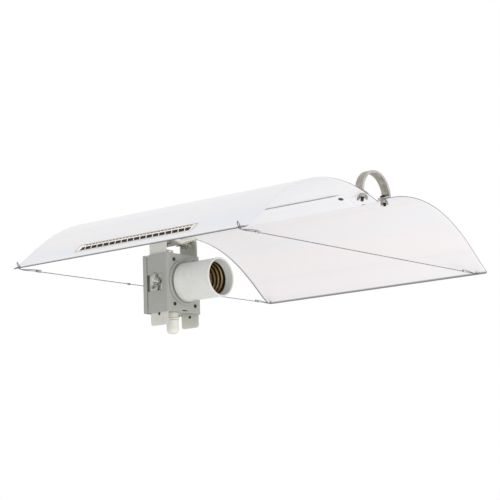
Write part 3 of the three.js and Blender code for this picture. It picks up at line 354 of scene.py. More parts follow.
METALS = {
    "galvanised_steel": (srgb(148, 144, 135), srgb(188, 184, 175), 0.45, (0.34, 0.55), 500, 0.5),
    # zinc_plated_steel's wide dark-to-light mottle is partly the plating's own blotches and partly
    # painted reflection and shade.
    "zinc_plated_steel": (srgb(122, 122, 120), srgb(226, 226, 222), 0.85, (0.18, 0.34), 800),
    "worn_zinc": (srgb(166, 164, 157), srgb(194, 192, 185), 0.4, (0.3, 0.45), 600),
    "blackened_steel": (srgb(38, 37, 36), srgb(58, 57, 55), 0.5, (0.35, 0.5), 900),
    "steel_wire": (srgb(96, 96, 100), srgb(136, 136, 140), 0.4, (0.32, 0.48), 1500),
}
POWDER_COATS = {
    "grey_powder_coat": (srgb(158, 159, 153), 0.44),
    "cream_powder_coat": (srgb(202, 201, 192), 0.42),
}
MOULDINGS = {
    "black_plastic": (srgb(34, 34, 35), 0.4),
    "black_rubber": (srgb(46, 46, 47), 0.75, 500, 0.2, 0.3),
    "cream_nylon": (srgb(222, 221, 211), 0.4, 1200, 0.04),
    "black_lead": (srgb(36, 36, 37), 0.6, 700, 0.1),
    "pale_lead": (srgb(214, 212, 204), 0.6, 700, 0.05),
}
MATERIALS = {
    "white_enamel_sheet": white_enamel(),
    "label_film": label_film(),
    "porcelain": glazed_porcelain(),
    "brass_shell": rolled_brass(),
}
for make, looks in ((metal, METALS), (powder_coat, POWDER_COATS), (moulded, MOULDINGS)):
    for name, look in looks.items():
        MATERIALS[name] = make(name, *look)
EDGE = cut_edge()
SPINE_RIM = shaded_spine_rim()

# ------------------------------------------------------------------ mesh building

SMOOTH_ANGLE = math.radians(32)
ON_AXIS = 1e-6


def linked(name, data):
    """A new object in the scene."""
    o = bpy.data.objects.new(name, data)
    bpy.context.scene.collection.objects.link(o)
    return o


def mesh_object(name, verts, faces, materials, face_material=None):
    """An object from design millimetres, smooth except over sharp edges."""
    mesh = bpy.data.meshes.new(name)
    mesh.from_pydata(metres(verts).tolist(), [], [list(map(int, f)) for f in faces])
    mesh.update()
    for m in materials:
        mesh.materials.append(m)
    if face_material is not None:
        mesh.polygons.foreach_set("material_index", np.asarray(face_material, dtype=np.int32))
    smooth(mesh)
    return linked(name, mesh)


def smooth(mesh):
    """Smooth shading that stops at sharp edges."""
    mesh.shade_smooth()
    mesh.set_sharp_from_angle(angle=SMOOTH_ANGLE)


def outward(verts, faces):
    """The same faces, turned so that a closed body faces out."""
    v = np.asarray(verts, float)
    volume = 0.0
    for f in faces:
        a = v[f[0]]
        for i in range(1, len(f) - 1):
            volume += np.dot(a, np.cross(v[f[i]], v[f[i + 1]]))
    return faces if volume > 0 else [list(f)[::-1] for f in faces]


def place(o, body, slot, *nodes):
    """Puts a piece on its body and hides the nodes it stands for."""
    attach(o, body)
    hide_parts(*nodes)
    return o


def piece(name, verts, faces, slot, body, node):
    """A closed body as one visible piece that stands for one node."""
    return place(mesh_object(name, verts, faces, [MATERIALS[slot]]), body, slot, node)


def evaluated(o):
    """Applies an object's modifiers to its mesh."""
    graph = bpy.context.evaluated_depsgraph_get()
    mesh = bpy.data.meshes.new_from_object(o.evaluated_get(graph))
    old = o.data
    o.modifiers.clear()
    o.data = mesh
    bpy.data.meshes.remove(old)
    smooth(mesh)
    return o


def combined(o, operation, tool):
    """Joins another object to this one, or cuts it out, and removes it."""
    m = o.modifiers.new("combine", "BOOLEAN")
    m.operation, m.solver, m.object = operation, "EXACT", tool
    evaluated(o)
    bpy.data.objects.remove(tool)


def basis(direction):
    """Two unit vectors square to a direction, and the direction."""
    d = unit(direction)
    a = np.array([0.0, 0.0, 1.0]) if abs(d[2]) < 0.9 else np.array([1.0, 0.0, 0.0])
    u = unit(np.cross(a, d))
    return u, np.cross(d, u), d


def skin(rings, closed=False):
    """The faces between rings of vertex numbers that follow each other. A ring that repeats one
    number is a point."""
    faces = []
    for p, q in zip(rings, rings[1:] + (rings[:1] if closed else [])):
        for i in range(len(p)):
            j = (i + 1) % len(p)
            face = list(dict.fromkeys((p[i], p[j], q[j], q[i])))
            if len(face) > 2:
                faces.append(face)
    return faces


def tube(count, sides, closed=False):
    """The faces of a body whose vertices are rings, with capped ends or bent round to its start."""
    rings = np.arange(count * sides).reshape(count, sides).tolist()
    return skin(rings, closed) + ([] if closed else [rings[0][::-1], rings[-1]])


def bezier(points, count):
    """Points along the curve that has these control points."""
    t = np.linspace(0, 1, count)[:, None]
    p = np.asarray(points, float)[:, None]
    while len(p) > 1:
        p = p[:-1] * (1 - t) + p[1:] * t
    return p[0]


def lathe(profile, centre, direction, sides=64, radius_at=None):
    """A closed profile of [radius, distance] pairs turned about an axis. radius_at changes a
    radius with the angle and the distance."""
    u, v, d = basis(direction)
    centre = np.asarray(centre, float)
    angles = np.arange(sides) * 2 * math.pi / sides
    verts, rings = [], []
    for r, a in profile:
        if r < ON_AXIS:
            rings.append([len(verts)] * sides)
            verts.append(centre + d * a)
            continue
        rings.append(list(range(len(verts), len(verts) + sides)))
        for t in angles:
            rr = radius_at(r, a, t) if radius_at else r
            verts.append(centre + d * a + (u * math.cos(t) + v * math.sin(t)) * rr)
    return verts, outward(verts, skin(rings, closed=profile[0][0] > ON_AXIS))


def rounded(profile, radius, steps=4):
    """A profile with each corner replaced by a small arc, except corners on the axis."""
    out = []
    n = len(profile)
    closed = profile[0][0] > ON_AXIS
    for i, p in enumerate(profile):
        if not closed and i in (0, n - 1):
            out.append(tuple(p))
            continue
        a, b, c = (np.array(profile[(i + k) % n], float) for k in (-1, 0, 1))
        la, lc = np.linalg.norm(a - b), np.linalg.norm(c - b)
        r = min(radius, la * 0.45, lc * 0.45)
        if r < 1e-3:
            out.append(tuple(b))
            continue
        p0, p1 = b + (a - b) / la * r, b + (c - b) / lc * r
        out += map(tuple, bezier([p0, b, p1], steps + 1))
    return out


def turned(name, profile, centre, direction, slot, body, node, sides=64, radius_at=None):
    """A turned body as one visible piece."""
    verts, faces = lathe(profile, centre, direction, sides, radius_at)
    return piece(name, verts, faces, slot, body, node)


def merged(*bodies):
    """Several closed bodies as one list of verts and faces."""
    verts, faces = [], []
    for v, f in bodies:
        start = len(verts)
        verts += [list(p) for p in v]
        faces += [[i + start for i in face] for face in f]
    return verts, faces


def spline(points, step):
    """Points every so often along a smooth curve through the points given."""
    p = np.asarray(points, float)
    p = np.vstack([2 * p[0] - p[1], p, 2 * p[-1] - p[-2]])
    out = []
    for i in range(1, len(p) - 2):
        p0, p1, p2, p3 = p[i - 1:i + 3]
        t0 = 0.0
        t1 = t0 + np.linalg.norm(p1 - p0) ** 0.5
        t2 = t1 + np.linalg.norm(p2 - p1) ** 0.5
        t3 = t2 + np.linalg.norm(p3 - p2) ** 0.5
        count = max(2, int(math.ceil(np.linalg.norm(p2 - p1) / step)))
        for t in np.linspace(t1, t2, count, endpoint=False):
            a1 = (t1 - t) / (t1 - t0) * p0 + (t - t0) / (t1 - t0) * p1
            a2 = (t2 - t) / (t2 - t1) * p1 + (t - t1) / (t2 - t1) * p2
            a3 = (t3 - t) / (t3 - t2) * p2 + (t - t2) / (t3 - t2) * p3
            b1 = (t2 - t) / (t2 - t0) * a1 + (t - t0) / (t2 - t0) * a2
            b2 = (t3 - t) / (t3 - t1) * a2 + (t - t1) / (t3 - t1) * a3
            out.append((t2 - t) / (t2 - t1) * b1 + (t - t1) / (t2 - t1) * b2)
    out.append(p[-2])
    return np.array(out)


def swept(path, section, twist=0.0):
    """A closed section, given as 2-D points, carried along a path and turned by a twist per
    millimetre."""
    path = np.asarray(path, float)
    tangent = np.gradient(path, axis=0)
    tangent /= np.linalg.norm(tangent, axis=1)[:, None]
    u, _, _ = basis(tangent[0])
    verts, angle = [], 0.0
    for i, p in enumerate(path):
        if i:
            angle += twist * np.linalg.norm(p - path[i - 1])
        t = tangent[i]
        u = unit(u - t * np.dot(u, t))
        v = np.cross(t, u)
        c, s = math.cos(angle), math.sin(angle)
        for a, b in section:
            verts.append(p + u * (a * c - b * s) + v * (a * s + b * c))
    return verts, outward(verts, tube(len(path), len(section)))


# ------------------------------------------------------------------ sheet metal

def arc(cx, cy, radius, a0, a1, steps=8):
    """Points along an arc, between two angles in radians."""
    return [(cx + radius * math.cos(a), cy + radius * math.sin(a))
            for a in np.linspace(a0, a1, steps + 1)]


def circle(cx, cy, radius, steps=24):
    """A round outline."""
    return arc(cx, cy, radius, 0, 2 * math.pi, steps)[:-1]


def rounded_rectangle(x0, x1, y0, y1, radius, steps=8):
    """A rectangular outline with round corners."""
    q = math.pi / 2
    return (arc(x1 - radius, y0 + radius, radius, -q, 0, steps)
            + arc(x1 - radius, y1 - radius, radius, 0, q, steps)
            + arc(x0 + radius, y1 - radius, radius, q, 2 * q, steps)
            + arc(x0 + radius, y0 + radius, radius, 2 * q, 3 * q, steps))


def slot_outline(x0, x1, y, radius, steps=10):
    """A slot along u with round ends."""
    q = math.pi / 2
    return arc(x1 - radius, y, radius, -q, q, steps) + arc(x0 + radius, y, radius, q, 3 * q, steps)


def contains(loop, points):
    """Which points lie inside a closed outline."""
    p = np.asarray(points, float)
    a = np.asarray(loop, float)
    b = np.roll(a, -1, axis=0)
    found = np.zeros(len(p), bool)
    for (xa, ya), (xb, yb) in zip(a, b):
        crosses = (ya > p[:, 1]) != (yb > p[:, 1])
        with np.errstate(divide="ignore", invalid="ignore"):
            x = xa + (p[:, 1] - ya) / (yb - ya) * (xb - xa)
        found ^= crosses & (p[:, 0] < x)
    return found


def subdivided(loop, us, vs):
    """An outline with points added where it crosses the grid lines."""
    out = []
    for p, q in zip(loop, loop[1:] + loop[:1]):
        cuts = {0.0}
        for axis, lines in ((0, us), (1, vs)):
            d = q[axis] - p[axis]
            if abs(d) > 1e-9:
                for line in lines:
                    t = (line - p[axis]) / d
                    if 1e-6 < t < 1 - 1e-6:
                        cuts.add(t)
        for t in sorted(cuts):
            point = (p[0] + (q[0] - p[0]) * t, p[1] + (q[1] - p[1]) * t)
            if not out or math.dist(out[-1], point) > 1e-4:
                out.append(point)
    if math.dist(out[0], out[-1]) < 1e-4:
        out.pop()
    return out


def plate(outline, holes, us, vs, place_at, thickness, edge_radius):
    """A flat pattern with holes, given a thickness and put in space by place_at(u, v, w),
    where w is the distance from the middle surface. The edges are rounded. Returns verts,
    faces and the number of faces that aren't on an edge."""
    us, vs = np.unique(np.round(us, 5)), np.unique(np.round(vs, 5))
    loops = [subdivided(list(map(tuple, loop)), us, vs) for loop in [outline] + list(holes)]
    grid = np.array([(u, v) for u in us for v in vs])
    keep = contains(loops[0], grid)
    for hole in loops[1:]:
        keep &= ~contains(hole, grid)
    rim = np.array([p for loop in loops for p in loop])
    margin = max(edge_radius * 2.0, 0.35)
    grid = [p for p in grid[keep] if ((rim - p) ** 2).sum(axis=1).min() > margin ** 2]
    edges, start = [], 0
    for loop in loops:
        n = len(loop)
        edges += [(start + i, start + (i + 1) % n) for i in range(n)]
        start += n
    points = [Vector(p) for p in [*rim, *grid]]
    pts, _, tris, _, _, _ = geometry.delaunay_2d_cdt(points, edges, [], 0, 1e-7)
    pts = np.array([tuple(p) for p in pts])
    tris = np.array([t for t in tris if len(t) == 3])
    middle = pts[tris].mean(axis=1)
    inside = contains(loops[0], middle)
    for hole in loops[1:]:
        inside &= ~contains(hole, middle)
    tris = tris[inside]
    a, b, c = pts[tris[:, 0]], pts[tris[:, 1]], pts[tris[:, 2]]
    turn = (b[:, 0] - a[:, 0]) * (c[:, 1] - a[:, 1]) - (b[:, 1] - a[:, 1]) * (c[:, 0] - a[:, 0])
    tris[turn < 0] = tris[turn < 0][:, ::-1]
    sides = {(int(t[i]), int(t[(i + 1) % 3])): None for t in tris for i in range(3)}
    border = [e for e in sides if e[::-1] not in sides]
    into = np.zeros_like(pts)
    for i, j in border:
        d = unit(pts[j] - pts[i])
        into[[i, j]] += (-d[1], d[0])
    rim_ids = np.unique(border)
    into[rim_ids] /= np.linalg.norm(into[rim_ids], axis=1)[:, None]
    half = thickness / 2
    r = min(edge_radius, half * 0.98)
    k = 1 - math.sqrt(0.5)
    rings = [(r, half), (k * r, half - k * r), (0, half - r),
             (0, -half + r), (k * r, -half + k * r), (r, -half)]
    order = {i: n for n, i in enumerate(rim_ids.tolist())}
    count = len(pts)
    layers = [(pts + into * r, half), (pts + into * r, -half)]
    layers += [(pts[rim_ids] + into[rim_ids] * inset, height) for inset, height in rings[1:-1]]
    verts = np.vstack([place_at(q[:, 0], q[:, 1], np.full(len(q), w)) for q, w in layers])
    faces = [list(t) for t in tris] + [[i + count for i in t[::-1]] for t in tris]
    flat = len(faces)
    n = len(order)

    def ring_vertex(ring, i):
        """The number of a rim point's copy in one of the rings round the edge."""
        if ring == 0:
            return i
        if ring == len(rings) - 1:
            return count + i
        return 2 * count + (ring - 1) * n + order[i]

    for i, j in border:
        for ring in range(len(rings) - 1):
            faces.append([ring_vertex(ring, j), ring_vertex(ring, i),
                          ring_vertex(ring + 1, i), ring_vertex(ring + 1, j)])
    used_verts = np.unique(np.concatenate([np.asarray(f) for f in faces]))
    remap = np.full(len(verts), -1)
    remap[used_verts] = np.arange(len(used_verts))
    return verts[used_verts], [[int(remap[i]) for i in f] for f in faces], flat


def plate_piece(name, slot, body, nodes, outline, holes, us, vs, place_at, thickness,
                edge_radius, edge_material=None):
    """A flat pattern as one visible piece, with a material of its own on its edges if given."""
    verts, faces, flat = plate(outline, holes, us, vs, place_at, thickness, edge_radius)
    facing = outward(verts, faces)
    materials = [MATERIALS[slot]] + ([edge_material] if edge_material else [])
    index = [0] * flat + [1 if edge_material else 0] * (len(faces) - flat)
    o = mesh_object(name, verts, facing, materials, index)
    return place(o, body, slot, *nodes)


class Fold:
    """A bent strip's middle line, in a plane, from corner points and bend radii."""

    def __init__(self, points, radii, steps=7):
        p = [np.array(q, float) for q in points]
        out = [p[0]]
        for i in range(1, len(p) - 1):
            a, b, c = unit(p[i - 1] - p[i]), p[i], unit(p[i + 1] - p[i])
            r = radii[i - 1]
            half = math.acos(max(-1, min(1, np.dot(a, c)))) / 2
            if r <= 0 or half > math.pi / 2 - 0.02:
                out.append(b)
                continue
            reach = r / math.tan(half)
            centre = b + unit(a + c) * (r / math.sin(half))
            s, e = b + a * reach - centre, b + c * reach - centre
            total = math.acos(max(-1, min(1, np.dot(unit(s), unit(e)))))
            for k in range(steps + 1):
                t = k / steps
                w0 = math.sin((1 - t) * total) / math.sin(total)
                w1 = math.sin(t * total) / math.sin(total)
                out.append(centre + s * w0 + e * w1)
        out.append(p[-1])
        self.set(np.array(out))

    def set(self, points):
        """Keeps the points that differ, with the distance along the strip and the normal at each."""
        step = np.linalg.norm(np.diff(points, axis=0), axis=1)
        self.points = points[np.concatenate([[True], step > 1e-6])]
        d = np.diff(self.points, axis=0)
        length = np.linalg.norm(d, axis=1)
        self.s = np.concatenate([[0], np.cumsum(length)])
        t = d / length[:, None]
        normal = np.stack([-t[:, 1], t[:, 0]], 1)
        at = np.vstack([normal[:1], (normal[:-1] + normal[1:]) / 2, normal[-1:]])
        self.normal = at / (at ** 2).sum(1)[:, None]
        return self

    @classmethod
    def through(cls, points):
        """A strip whose middle line passes through points as they are."""
        return cls.__new__(cls).set(np.asarray(points, float))

    @property
    def length(self):
        return self.s[-1]

    def at(self, s, w):
        """The two coordinates of points at distances s along the strip and w off its middle."""
        return [np.interp(s, self.s, self.points[:, i]) + w * np.interp(s, self.s, self.normal[:, i])
                for i in (0, 1)]

    def where(self, point):
        """The distance along the strip of the place nearest to a point."""
        s = np.linspace(0, self.length, 4000)
        x, y = self.at(s, 0.0)
        return float(s[np.argmin((x - point[0]) ** 2 + (y - point[1]) ** 2)])

    def lines(self, step):
        """Grid lines at every bend point, and no further apart than a step."""
        out = []
        for a, b in zip(self.s[:-1], self.s[1:]):
            out += list(np.linspace(a, b, max(1, int(math.ceil((b - a) / step))), endpoint=False))
        return np.array(out + [self.length])


def mirrored_strip(half):
    """A strip that is the same on both sides of the ridge, from the points of one side."""
    return Fold.through(np.vstack([half, (half[:-1] * (-1, 1))[::-1]]))


def folded_round(line):
    """Puts a flat pattern on a strip that is folded in plan, with v going up."""
    return lambda u, v, w: np.stack([*line.at(u, w), v], 1)


# ------------------------------------------------------------------ the wing's section

RIDGE_HEIGHT = 73.8
RIDGE_SOFTNESS = 0.9

SECTION = bezier([(0, RIDGE_HEIGHT), (182.5, 140.7), (268, 8.2), (HALF_SPAN, 0)], 4001)
SLOPE = np.gradient(SECTION[:, 1], SECTION[:, 0])


def wing(x, y, w):
    """Points at a distance w above the sheet's middle surface, at x and y on the wings."""
    x, y, w = (np.asarray(q, float) for q in (x, y, w))
    yy = np.hypot(y, RIDGE_SOFTNESS)
    z = np.interp(yy, SECTION[:, 0], SECTION[:, 1])
    slope = np.interp(yy, SECTION[:, 0], SLOPE) * y / yy
    k = w / np.sqrt(1 + slope ** 2)
    return np.stack([x + 0 * y, y - slope * k, z + k], 1)


def on_wing(offset):
    """Puts a flat pattern on the wings, with its middle surface at a distance above theirs."""
    return lambda u, v, w: wing(u, v, w + offset)


def wing_frame(x, y):
    """A point on the sheet's middle surface, and the direction out of the sheet there."""
    p = wing([x], [y], [0.0])[0]
    return p, unit(wing([x], [y], [1.0])[0] - p)


SIDES = (("right", -1), ("left", 1))
WIRE_X = (9.0, 426.0)
LOOP_X = (7.3, 435.7)
RIVET_X = (160.0, 398.0)
RIVET_Y = 27.0
LOOP_SCREW_Y = 26.0
SADDLE_BOLT = (54.0, 18.0)
HOOK_HOLE_Y = 295.0
M5_HOLE = 2.8
RIVET_HOLE = 2.5
LINES_AT_RIDGE = [0, 0.5, 1.0, 1.6, 2.6, 4.2, 6.5]


def across_ridge(near, far, count):
    """Grid lines across the ridge, close together where the sheet turns."""
    half = np.concatenate([LINES_AT_RIDGE, np.linspace(near, far, count)])
    return np.concatenate([-half[::-1], half])


def saddle_holes():
    """The two bolts' holes through the spine and the pad."""
    return [circle(SADDLE_BOLT[0], s * SADDLE_BOLT[1], M5_HOLE) for _, s in SIDES]


def reflector_sheet():
    """One enamelled sheet over the ridge, with a hook hole and a spare at each wire's ends."""
    hook_hole, spare_hole, spare_step = 2.3, 1.5, 5.4
    holes = []
    for _, side in SIDES:
        for x in WIRE_X:
            spare_x = x + math.copysign(spare_step, x - SHEET_X[1] / 2)
            holes.append(circle(x, side * HOOK_HOLE_Y, hook_hole))
            holes.append(circle(spare_x, side * HOOK_HOLE_Y, spare_hole, 16))
        holes += [circle(x, side * LOOP_SCREW_Y, M5_HOLE) for x in LOOP_X]
        holes += [circle(x, side * RIVET_Y, RIVET_HOLE) for x in RIVET_X]
        holes.append(circle(SADDLE_BOLT[0], side * SADDLE_BOLT[1], M5_HOLE))
    outline = rounded_rectangle(*SHEET_X, -HALF_SPAN, HALF_SPAN, 7, 10)
    plate_piece("enamelled_sheet", "white_enamel_sheet", "reflector", ["reflector_sheet"],
                outline, holes, np.linspace(*SHEET_X, 60), across_ridge(10, HALF_SPAN, 72),
                on_wing(0.0), 1.0, 0.3, EDGE)


def ridge_spine():
    """The shallow strip riveted under the ridge."""
    x0, x1, half_width = 22, 405, 37.5
    holes = [circle(x, s * RIVET_Y, RIVET_HOLE) for _, s in SIDES for x in RIVET_X]
    outline = rounded_rectangle(x0, x1, -half_width, half_width, 3, 5)
    plate_piece("ridge_spine_strip", "white_enamel_sheet", "reflector", ["ridge_spine"],
                outline, holes + saddle_holes(), np.linspace(x0, x1, 50),
                across_ridge(9, half_width, 9), on_wing(-1.3), 1.5, 0.4, SPINE_RIM)


def rating_label():
    """The film on the outer face of the right wing."""
    plate_piece("rating_label_film", "label_film", "reflector", ["rating_label"],
                rounded_rectangle(*LABEL_X, *LABEL_Y, 2.5, 5), [], np.linspace(*LABEL_X, 40),
                np.linspace(*LABEL_Y, 8), on_wing(0.75), 0.24, 0.08)


# ------------------------------------------------------------------ wires

WIRE_Z = 0.0
WIRE_RADIUS = 0.6
RUN_SPACING = 1.6
FERRULE_Y = (252.0, 261.0)


def bow_wires():
    """Stranded wires whose ends hook up through the tips and double back into a ferrule."""
    strands, groove, lay = 6, 0.12, 9.0
    hook_height, hook_half_width = 8.0, 1.3
    ring = []
    for k in range(strands * 4):
        a = 2 * math.pi * k / (strands * 4)
        r = WIRE_RADIUS - groove * abs(math.sin(strands * a / 2 + math.pi / 2)) ** 3
        ring.append((r * math.cos(a), r * math.sin(a)))
    for i, x in enumerate(WIRE_X):
        hole, n = wing_frame(x, HOOK_HOLE_Y)

        def pin(across, along):
            """A point of the hook, in shares of its half width and its height."""
            return hole + n * (hook_height * along) + np.array([hook_half_width * across, 0, 0])

        tail = WIRE_Z + RUN_SPACING
        route = [(x, 0, WIRE_Z), (x, FERRULE_Y[0] - 6, WIRE_Z), (x, FERRULE_Y[0] + 4, WIRE_Z),
                 (x, FERRULE_Y[1] + 4, WIRE_Z), pin(1, -0.35), pin(1, 0), pin(1, 0.6), pin(0, 1),
                 pin(-1, 0.6), pin(-1, 0), pin(-1, -0.25), (x, FERRULE_Y[1] + 4, tail + 0.4),
                 (x, FERRULE_Y[1] - 4, tail), (x, FERRULE_Y[0] - 1.2, tail)]
        half = spline(route, 0.9)
        other = half[::-1].copy()
        other[:, 1] *= -1
        path = np.vstack([other[:-1], half])
        verts, faces = swept(path, ring, twist=2 * math.pi / lay)
        piece(f"stranded_wire_{i + 1}", verts, faces, "steel_wire", "reflector",
              f"bow_wire_{i + 1}")


def capsule_ring(x, y, radius, squeeze, steps=10):
    """A ring round both runs of a wire, squeezed across and along its height."""
    top = arc(0, RUN_SPACING, radius, 0, math.pi, steps)
    bottom = arc(0, 0, radius, math.pi, 2 * math.pi, steps)
    middle = RUN_SPACING / 2
    return [(x + a * squeeze[0], y, WIRE_Z + middle + (b - middle) * squeeze[1])
            for a, b in top + bottom]


def wire_ferrules():
    """Oval crimped sleeves with two pressed waists."""
    bore, wall = 0.8, 0.58
    y0, y1 = FERRULE_Y
    stations = [(y0, bore, 1), (y0, bore + wall - 0.2, 1), (y0 + 0.25, bore + wall, 1)]
    for k in np.linspace(0.06, 0.94, 25):
        dent = 0.16 * (math.exp(-((k - 0.3) / 0.07) ** 2) + math.exp(-((k - 0.7) / 0.07) ** 2))
        stations.append((y0 + (y1 - y0) * k, bore + wall, 1 - dent))
    stations += [(y1 - 0.25, bore + wall, 1), (y1, bore + wall - 0.2, 1), (y1, bore, 1)]
    for i, x in enumerate(WIRE_X):
        for hand, side in SIDES:
            rings = [capsule_ring(x, side * y, r, (s, 1 + (1 - s) * 0.25)) for y, r, s in stations]
            verts = [p for ring in rings for p in ring]
            faces = outward(verts, tube(len(rings), len(rings[0]), closed=True))
            piece(f"crimped_ferrule_{i + 1}_{hand}", verts, faces, "zinc_plated_steel",
                  "reflector", f"wire_ferrule_{i + 1}_{hand}")


def wire_stop():
    """A small sleeve with a pressed waist, on the first wire."""
    bore, outside, y0, y1 = 0.8, 1.6, -66, -61.5
    dent, waist_half_width = 0.3, 1.2

    def waist(r, y, angle):
        pressed = r > 1.2 and abs(y - (y0 + y1) / 2) < waist_half_width
        return r - dent if pressed else r

    profile = rounded([(bore, y0), (outside, y0), (outside, y1), (bore, y1)], 0.4)
    turned("crimped_stop", profile, (WIRE_X[0], 0, WIRE_Z), (0, 1, 0), "zinc_plated_steel",
           "reflector", "wire_stop", 28, waist)


# ------------------------------------------------------------------ screws and nuts

def threaded_shank(radius, pitch, z0, z1, centre, direction, sides=28, depth=0.55):
    """A shank whose surface is a real helical thread between two distances, closed at both
    ends."""
    u, v, d = basis(direction)
    centre = np.asarray(centre, float)
    rows = max(4, int((z1 - z0) / pitch * 6))
    verts = []
    for k in range(rows + 1):
        z = z0 + (z1 - z0) * k / rows
        fade = min(1.0, (z - z0) / (pitch * 0.7) + 0.15, (z1 - z) / (pitch * 0.7) + 0.15)
        for i in range(sides):
            t = 2 * math.pi * i / sides
            phase = (z / pitch - i / sides) % 1.0
            tooth = abs(phase * 2 - 1)
            r = radius - depth * pitch * tooth * fade - (1 - fade) * depth * pitch * 0.8
            verts.append(centre + d * z + (u * math.cos(t) + v * math.sin(t)) * r)
    return verts, outward(verts, tube(rows + 1, sides))


def pan_profile(radius, head_radius, head_height, sink):
    """The half section of a domed pan head whose bearing face is at 0."""
    points = [(0.0, -sink), (radius, -sink), (radius, 0.0), (head_radius, 0.0)]
    points += [(head_radius, head_height * 0.32)]
    for t in np.linspace(0.15, 1, 8):
        a = t * math.pi / 2
        points.append((head_radius * math.cos(a) if t < 1 else 0.0,
                       head_height * (0.32 + 0.68 * math.sin(a))))
    return points


def cross_recess(centre, direction, head_radius, head_height, turn=0.3):
    """The tapered cross that a driver fits in."""
    u, v, d = basis(direction)
    c = np.asarray(centre, float)
    tools = []
    for k in range(2):
        a = turn + k * math.pi / 2
        p, q = u * math.cos(a) + v * math.sin(a), -u * math.sin(a) + v * math.cos(a)
        long, wide = head_radius * 0.62, head_radius * 0.13
        verts = []
        for z, s in ((head_height * 0.25, 0.35), (head_height * 1.3, 1.05)):
            for i, j in ((-1, -1), (1, -1), (1, 1), (-1, 1)):
                verts.append(c + d * z + p * (i * long * s) + q * (j * wide))
        tools.append((verts, outward(verts, tube(2, 4))))
    return tools


def screw(name, node, body, slot, centre, direction, sizes, pitch=0.8):
    """A cross-head screw with its thread, as one piece. Its sizes are the thread's radius, the
    head's radius and height, and the length under the head."""
    radius, head_radius, head_height, length = sizes
    centre = np.asarray(centre, float)
    head = lathe(pan_profile(radius * 0.96, head_radius, head_height, 1.2), centre, direction, 40)
    o = mesh_object(name, *head, [MATERIALS[slot]])
    for bit in cross_recess(centre, direction, head_radius, head_height):
        combined(o, "DIFFERENCE", mesh_object("bit", *bit, []))
    shank = threaded_shank(radius, pitch, -length, -0.9, centre, direction)
    combined(o, "UNION", mesh_object("rod", *shank, [MATERIALS[slot]]))
    place(o, body, slot, node)


def wing_nut_mesh(size, voxel):
    """A cast wing nut with filleted wings, its bearing face at z = 0, in millimetres. Its sizes
    are the bore's and hub's radii, the hub's height, the span, the height and the thickness."""
    bore, hub_r, hub_top, span, h, thick = size
    hub = [(bore, 0), (hub_r, 0), (hub_r * 0.86, hub_top), (bore, hub_top)]
    bodies = [lathe(rounded(hub, 0.5), (0, 0, 0), (0, 0, 1), 48)]
    inner, outer, foot = bore + 0.9, span / 2, 0.6
    curves = [[(hub_r, foot), (outer, h * 0.2), (outer, h * 0.7)],
              [(outer, h * 0.7), (outer, h), (outer * 0.78, h)],
              [(outer * 0.78, h), (hub_r, h * 0.8), (inner, hub_top)]]
    outline = [(inner, foot), (hub_r, foot)] + [p for c in curves for p in bezier(c, 8)[1:]]
    for side in (1, -1):
        verts = []
        for s in (-1, 1):
            for x, z in outline:
                half = thick / 2 * (1.15 - 0.3 * (x - inner) / (outer - inner))
                verts.append((side * x, s * half, z))
        bodies.append((verts, outward(verts, tube(2, len(outline)))))
    verts, faces = merged(*bodies)
    o = mesh_object("nut", np.array(verts) - (FRAME_X, 0, FRAME_Z), faces, [])
    m = o.modifiers.new("remesh", "REMESH")
    m.mode, m.voxel_size = "VOXEL", voxel / 1000
    m = o.modifiers.new("smooth", "SMOOTH")
    m.factor, m.iterations = 0.6, 4
    evaluated(o)
    co = np.array([v.co for v in o.data.vertices]) * 1000
    polys = [list(p.vertices) for p in o.data.polygons]
    bpy.data.objects.remove(o)
    return co, polys


M5_SCREW = (2.5, 4.6, 2.8)
M5_NUT = wing_nut_mesh((2.8, 4.4, 4.6, 17.0, 9.0, 1.9), 0.30)
M6_NUT = wing_nut_mesh((3.3, 6.0, 6.5, 27.0, 13.5, 2.3), 0.34)


def wing_nut(shape, name, node, body, slot, seat, along, wings_along):
    """A wing nut with its bearing face at a seat, its wings lying as near as they can to a
    direction."""
    d = unit(along)
    u = np.asarray(wings_along, float)
    u = unit(u - d * np.dot(u, d))
    v = np.cross(d, u)
    co, polys = shape
    verts = np.asarray(seat, float) + co[:, :1] * u + co[:, 1:2] * v + co[:, 2:] * d
    o = mesh_object(name, verts, polys, [MATERIALS[slot]])
    o.data.shade_smooth()
    place(o, body, slot, node)


def spine_rivets():
    """Push rivets, domed under the spine and splayed on top of the sheet."""
    under, over = -2.6, 0.8
    dome_radius, dome_height, stem = 3.8, 0.6, 2.25
    dome = [(dome_radius * math.cos(a), under - dome_height * math.sin(a))
            for a in np.linspace(0, math.pi / 2, 9)[:-1]]
    profile = [(0, under - dome_height)] + dome[::-1] + [(stem, under), (stem, over), (3.0, over)]
    profile += [(2.9, over + 0.6), (2.2, over + 0.95), (0, over + 1)]
    for i, x in enumerate(RIVET_X):
        for hand, side in SIDES:
            p, n = wing_frame(x, side * RIVET_Y)
            turned(f"push_rivet_{i + 1}_{hand}", profile, p, n, "black_plastic", "reflector",
                   f"spine_rivet_{i + 1}_{hand}", 40)


LOOP_NUT_TURN = {"right": 0.2, "left": -0.35}


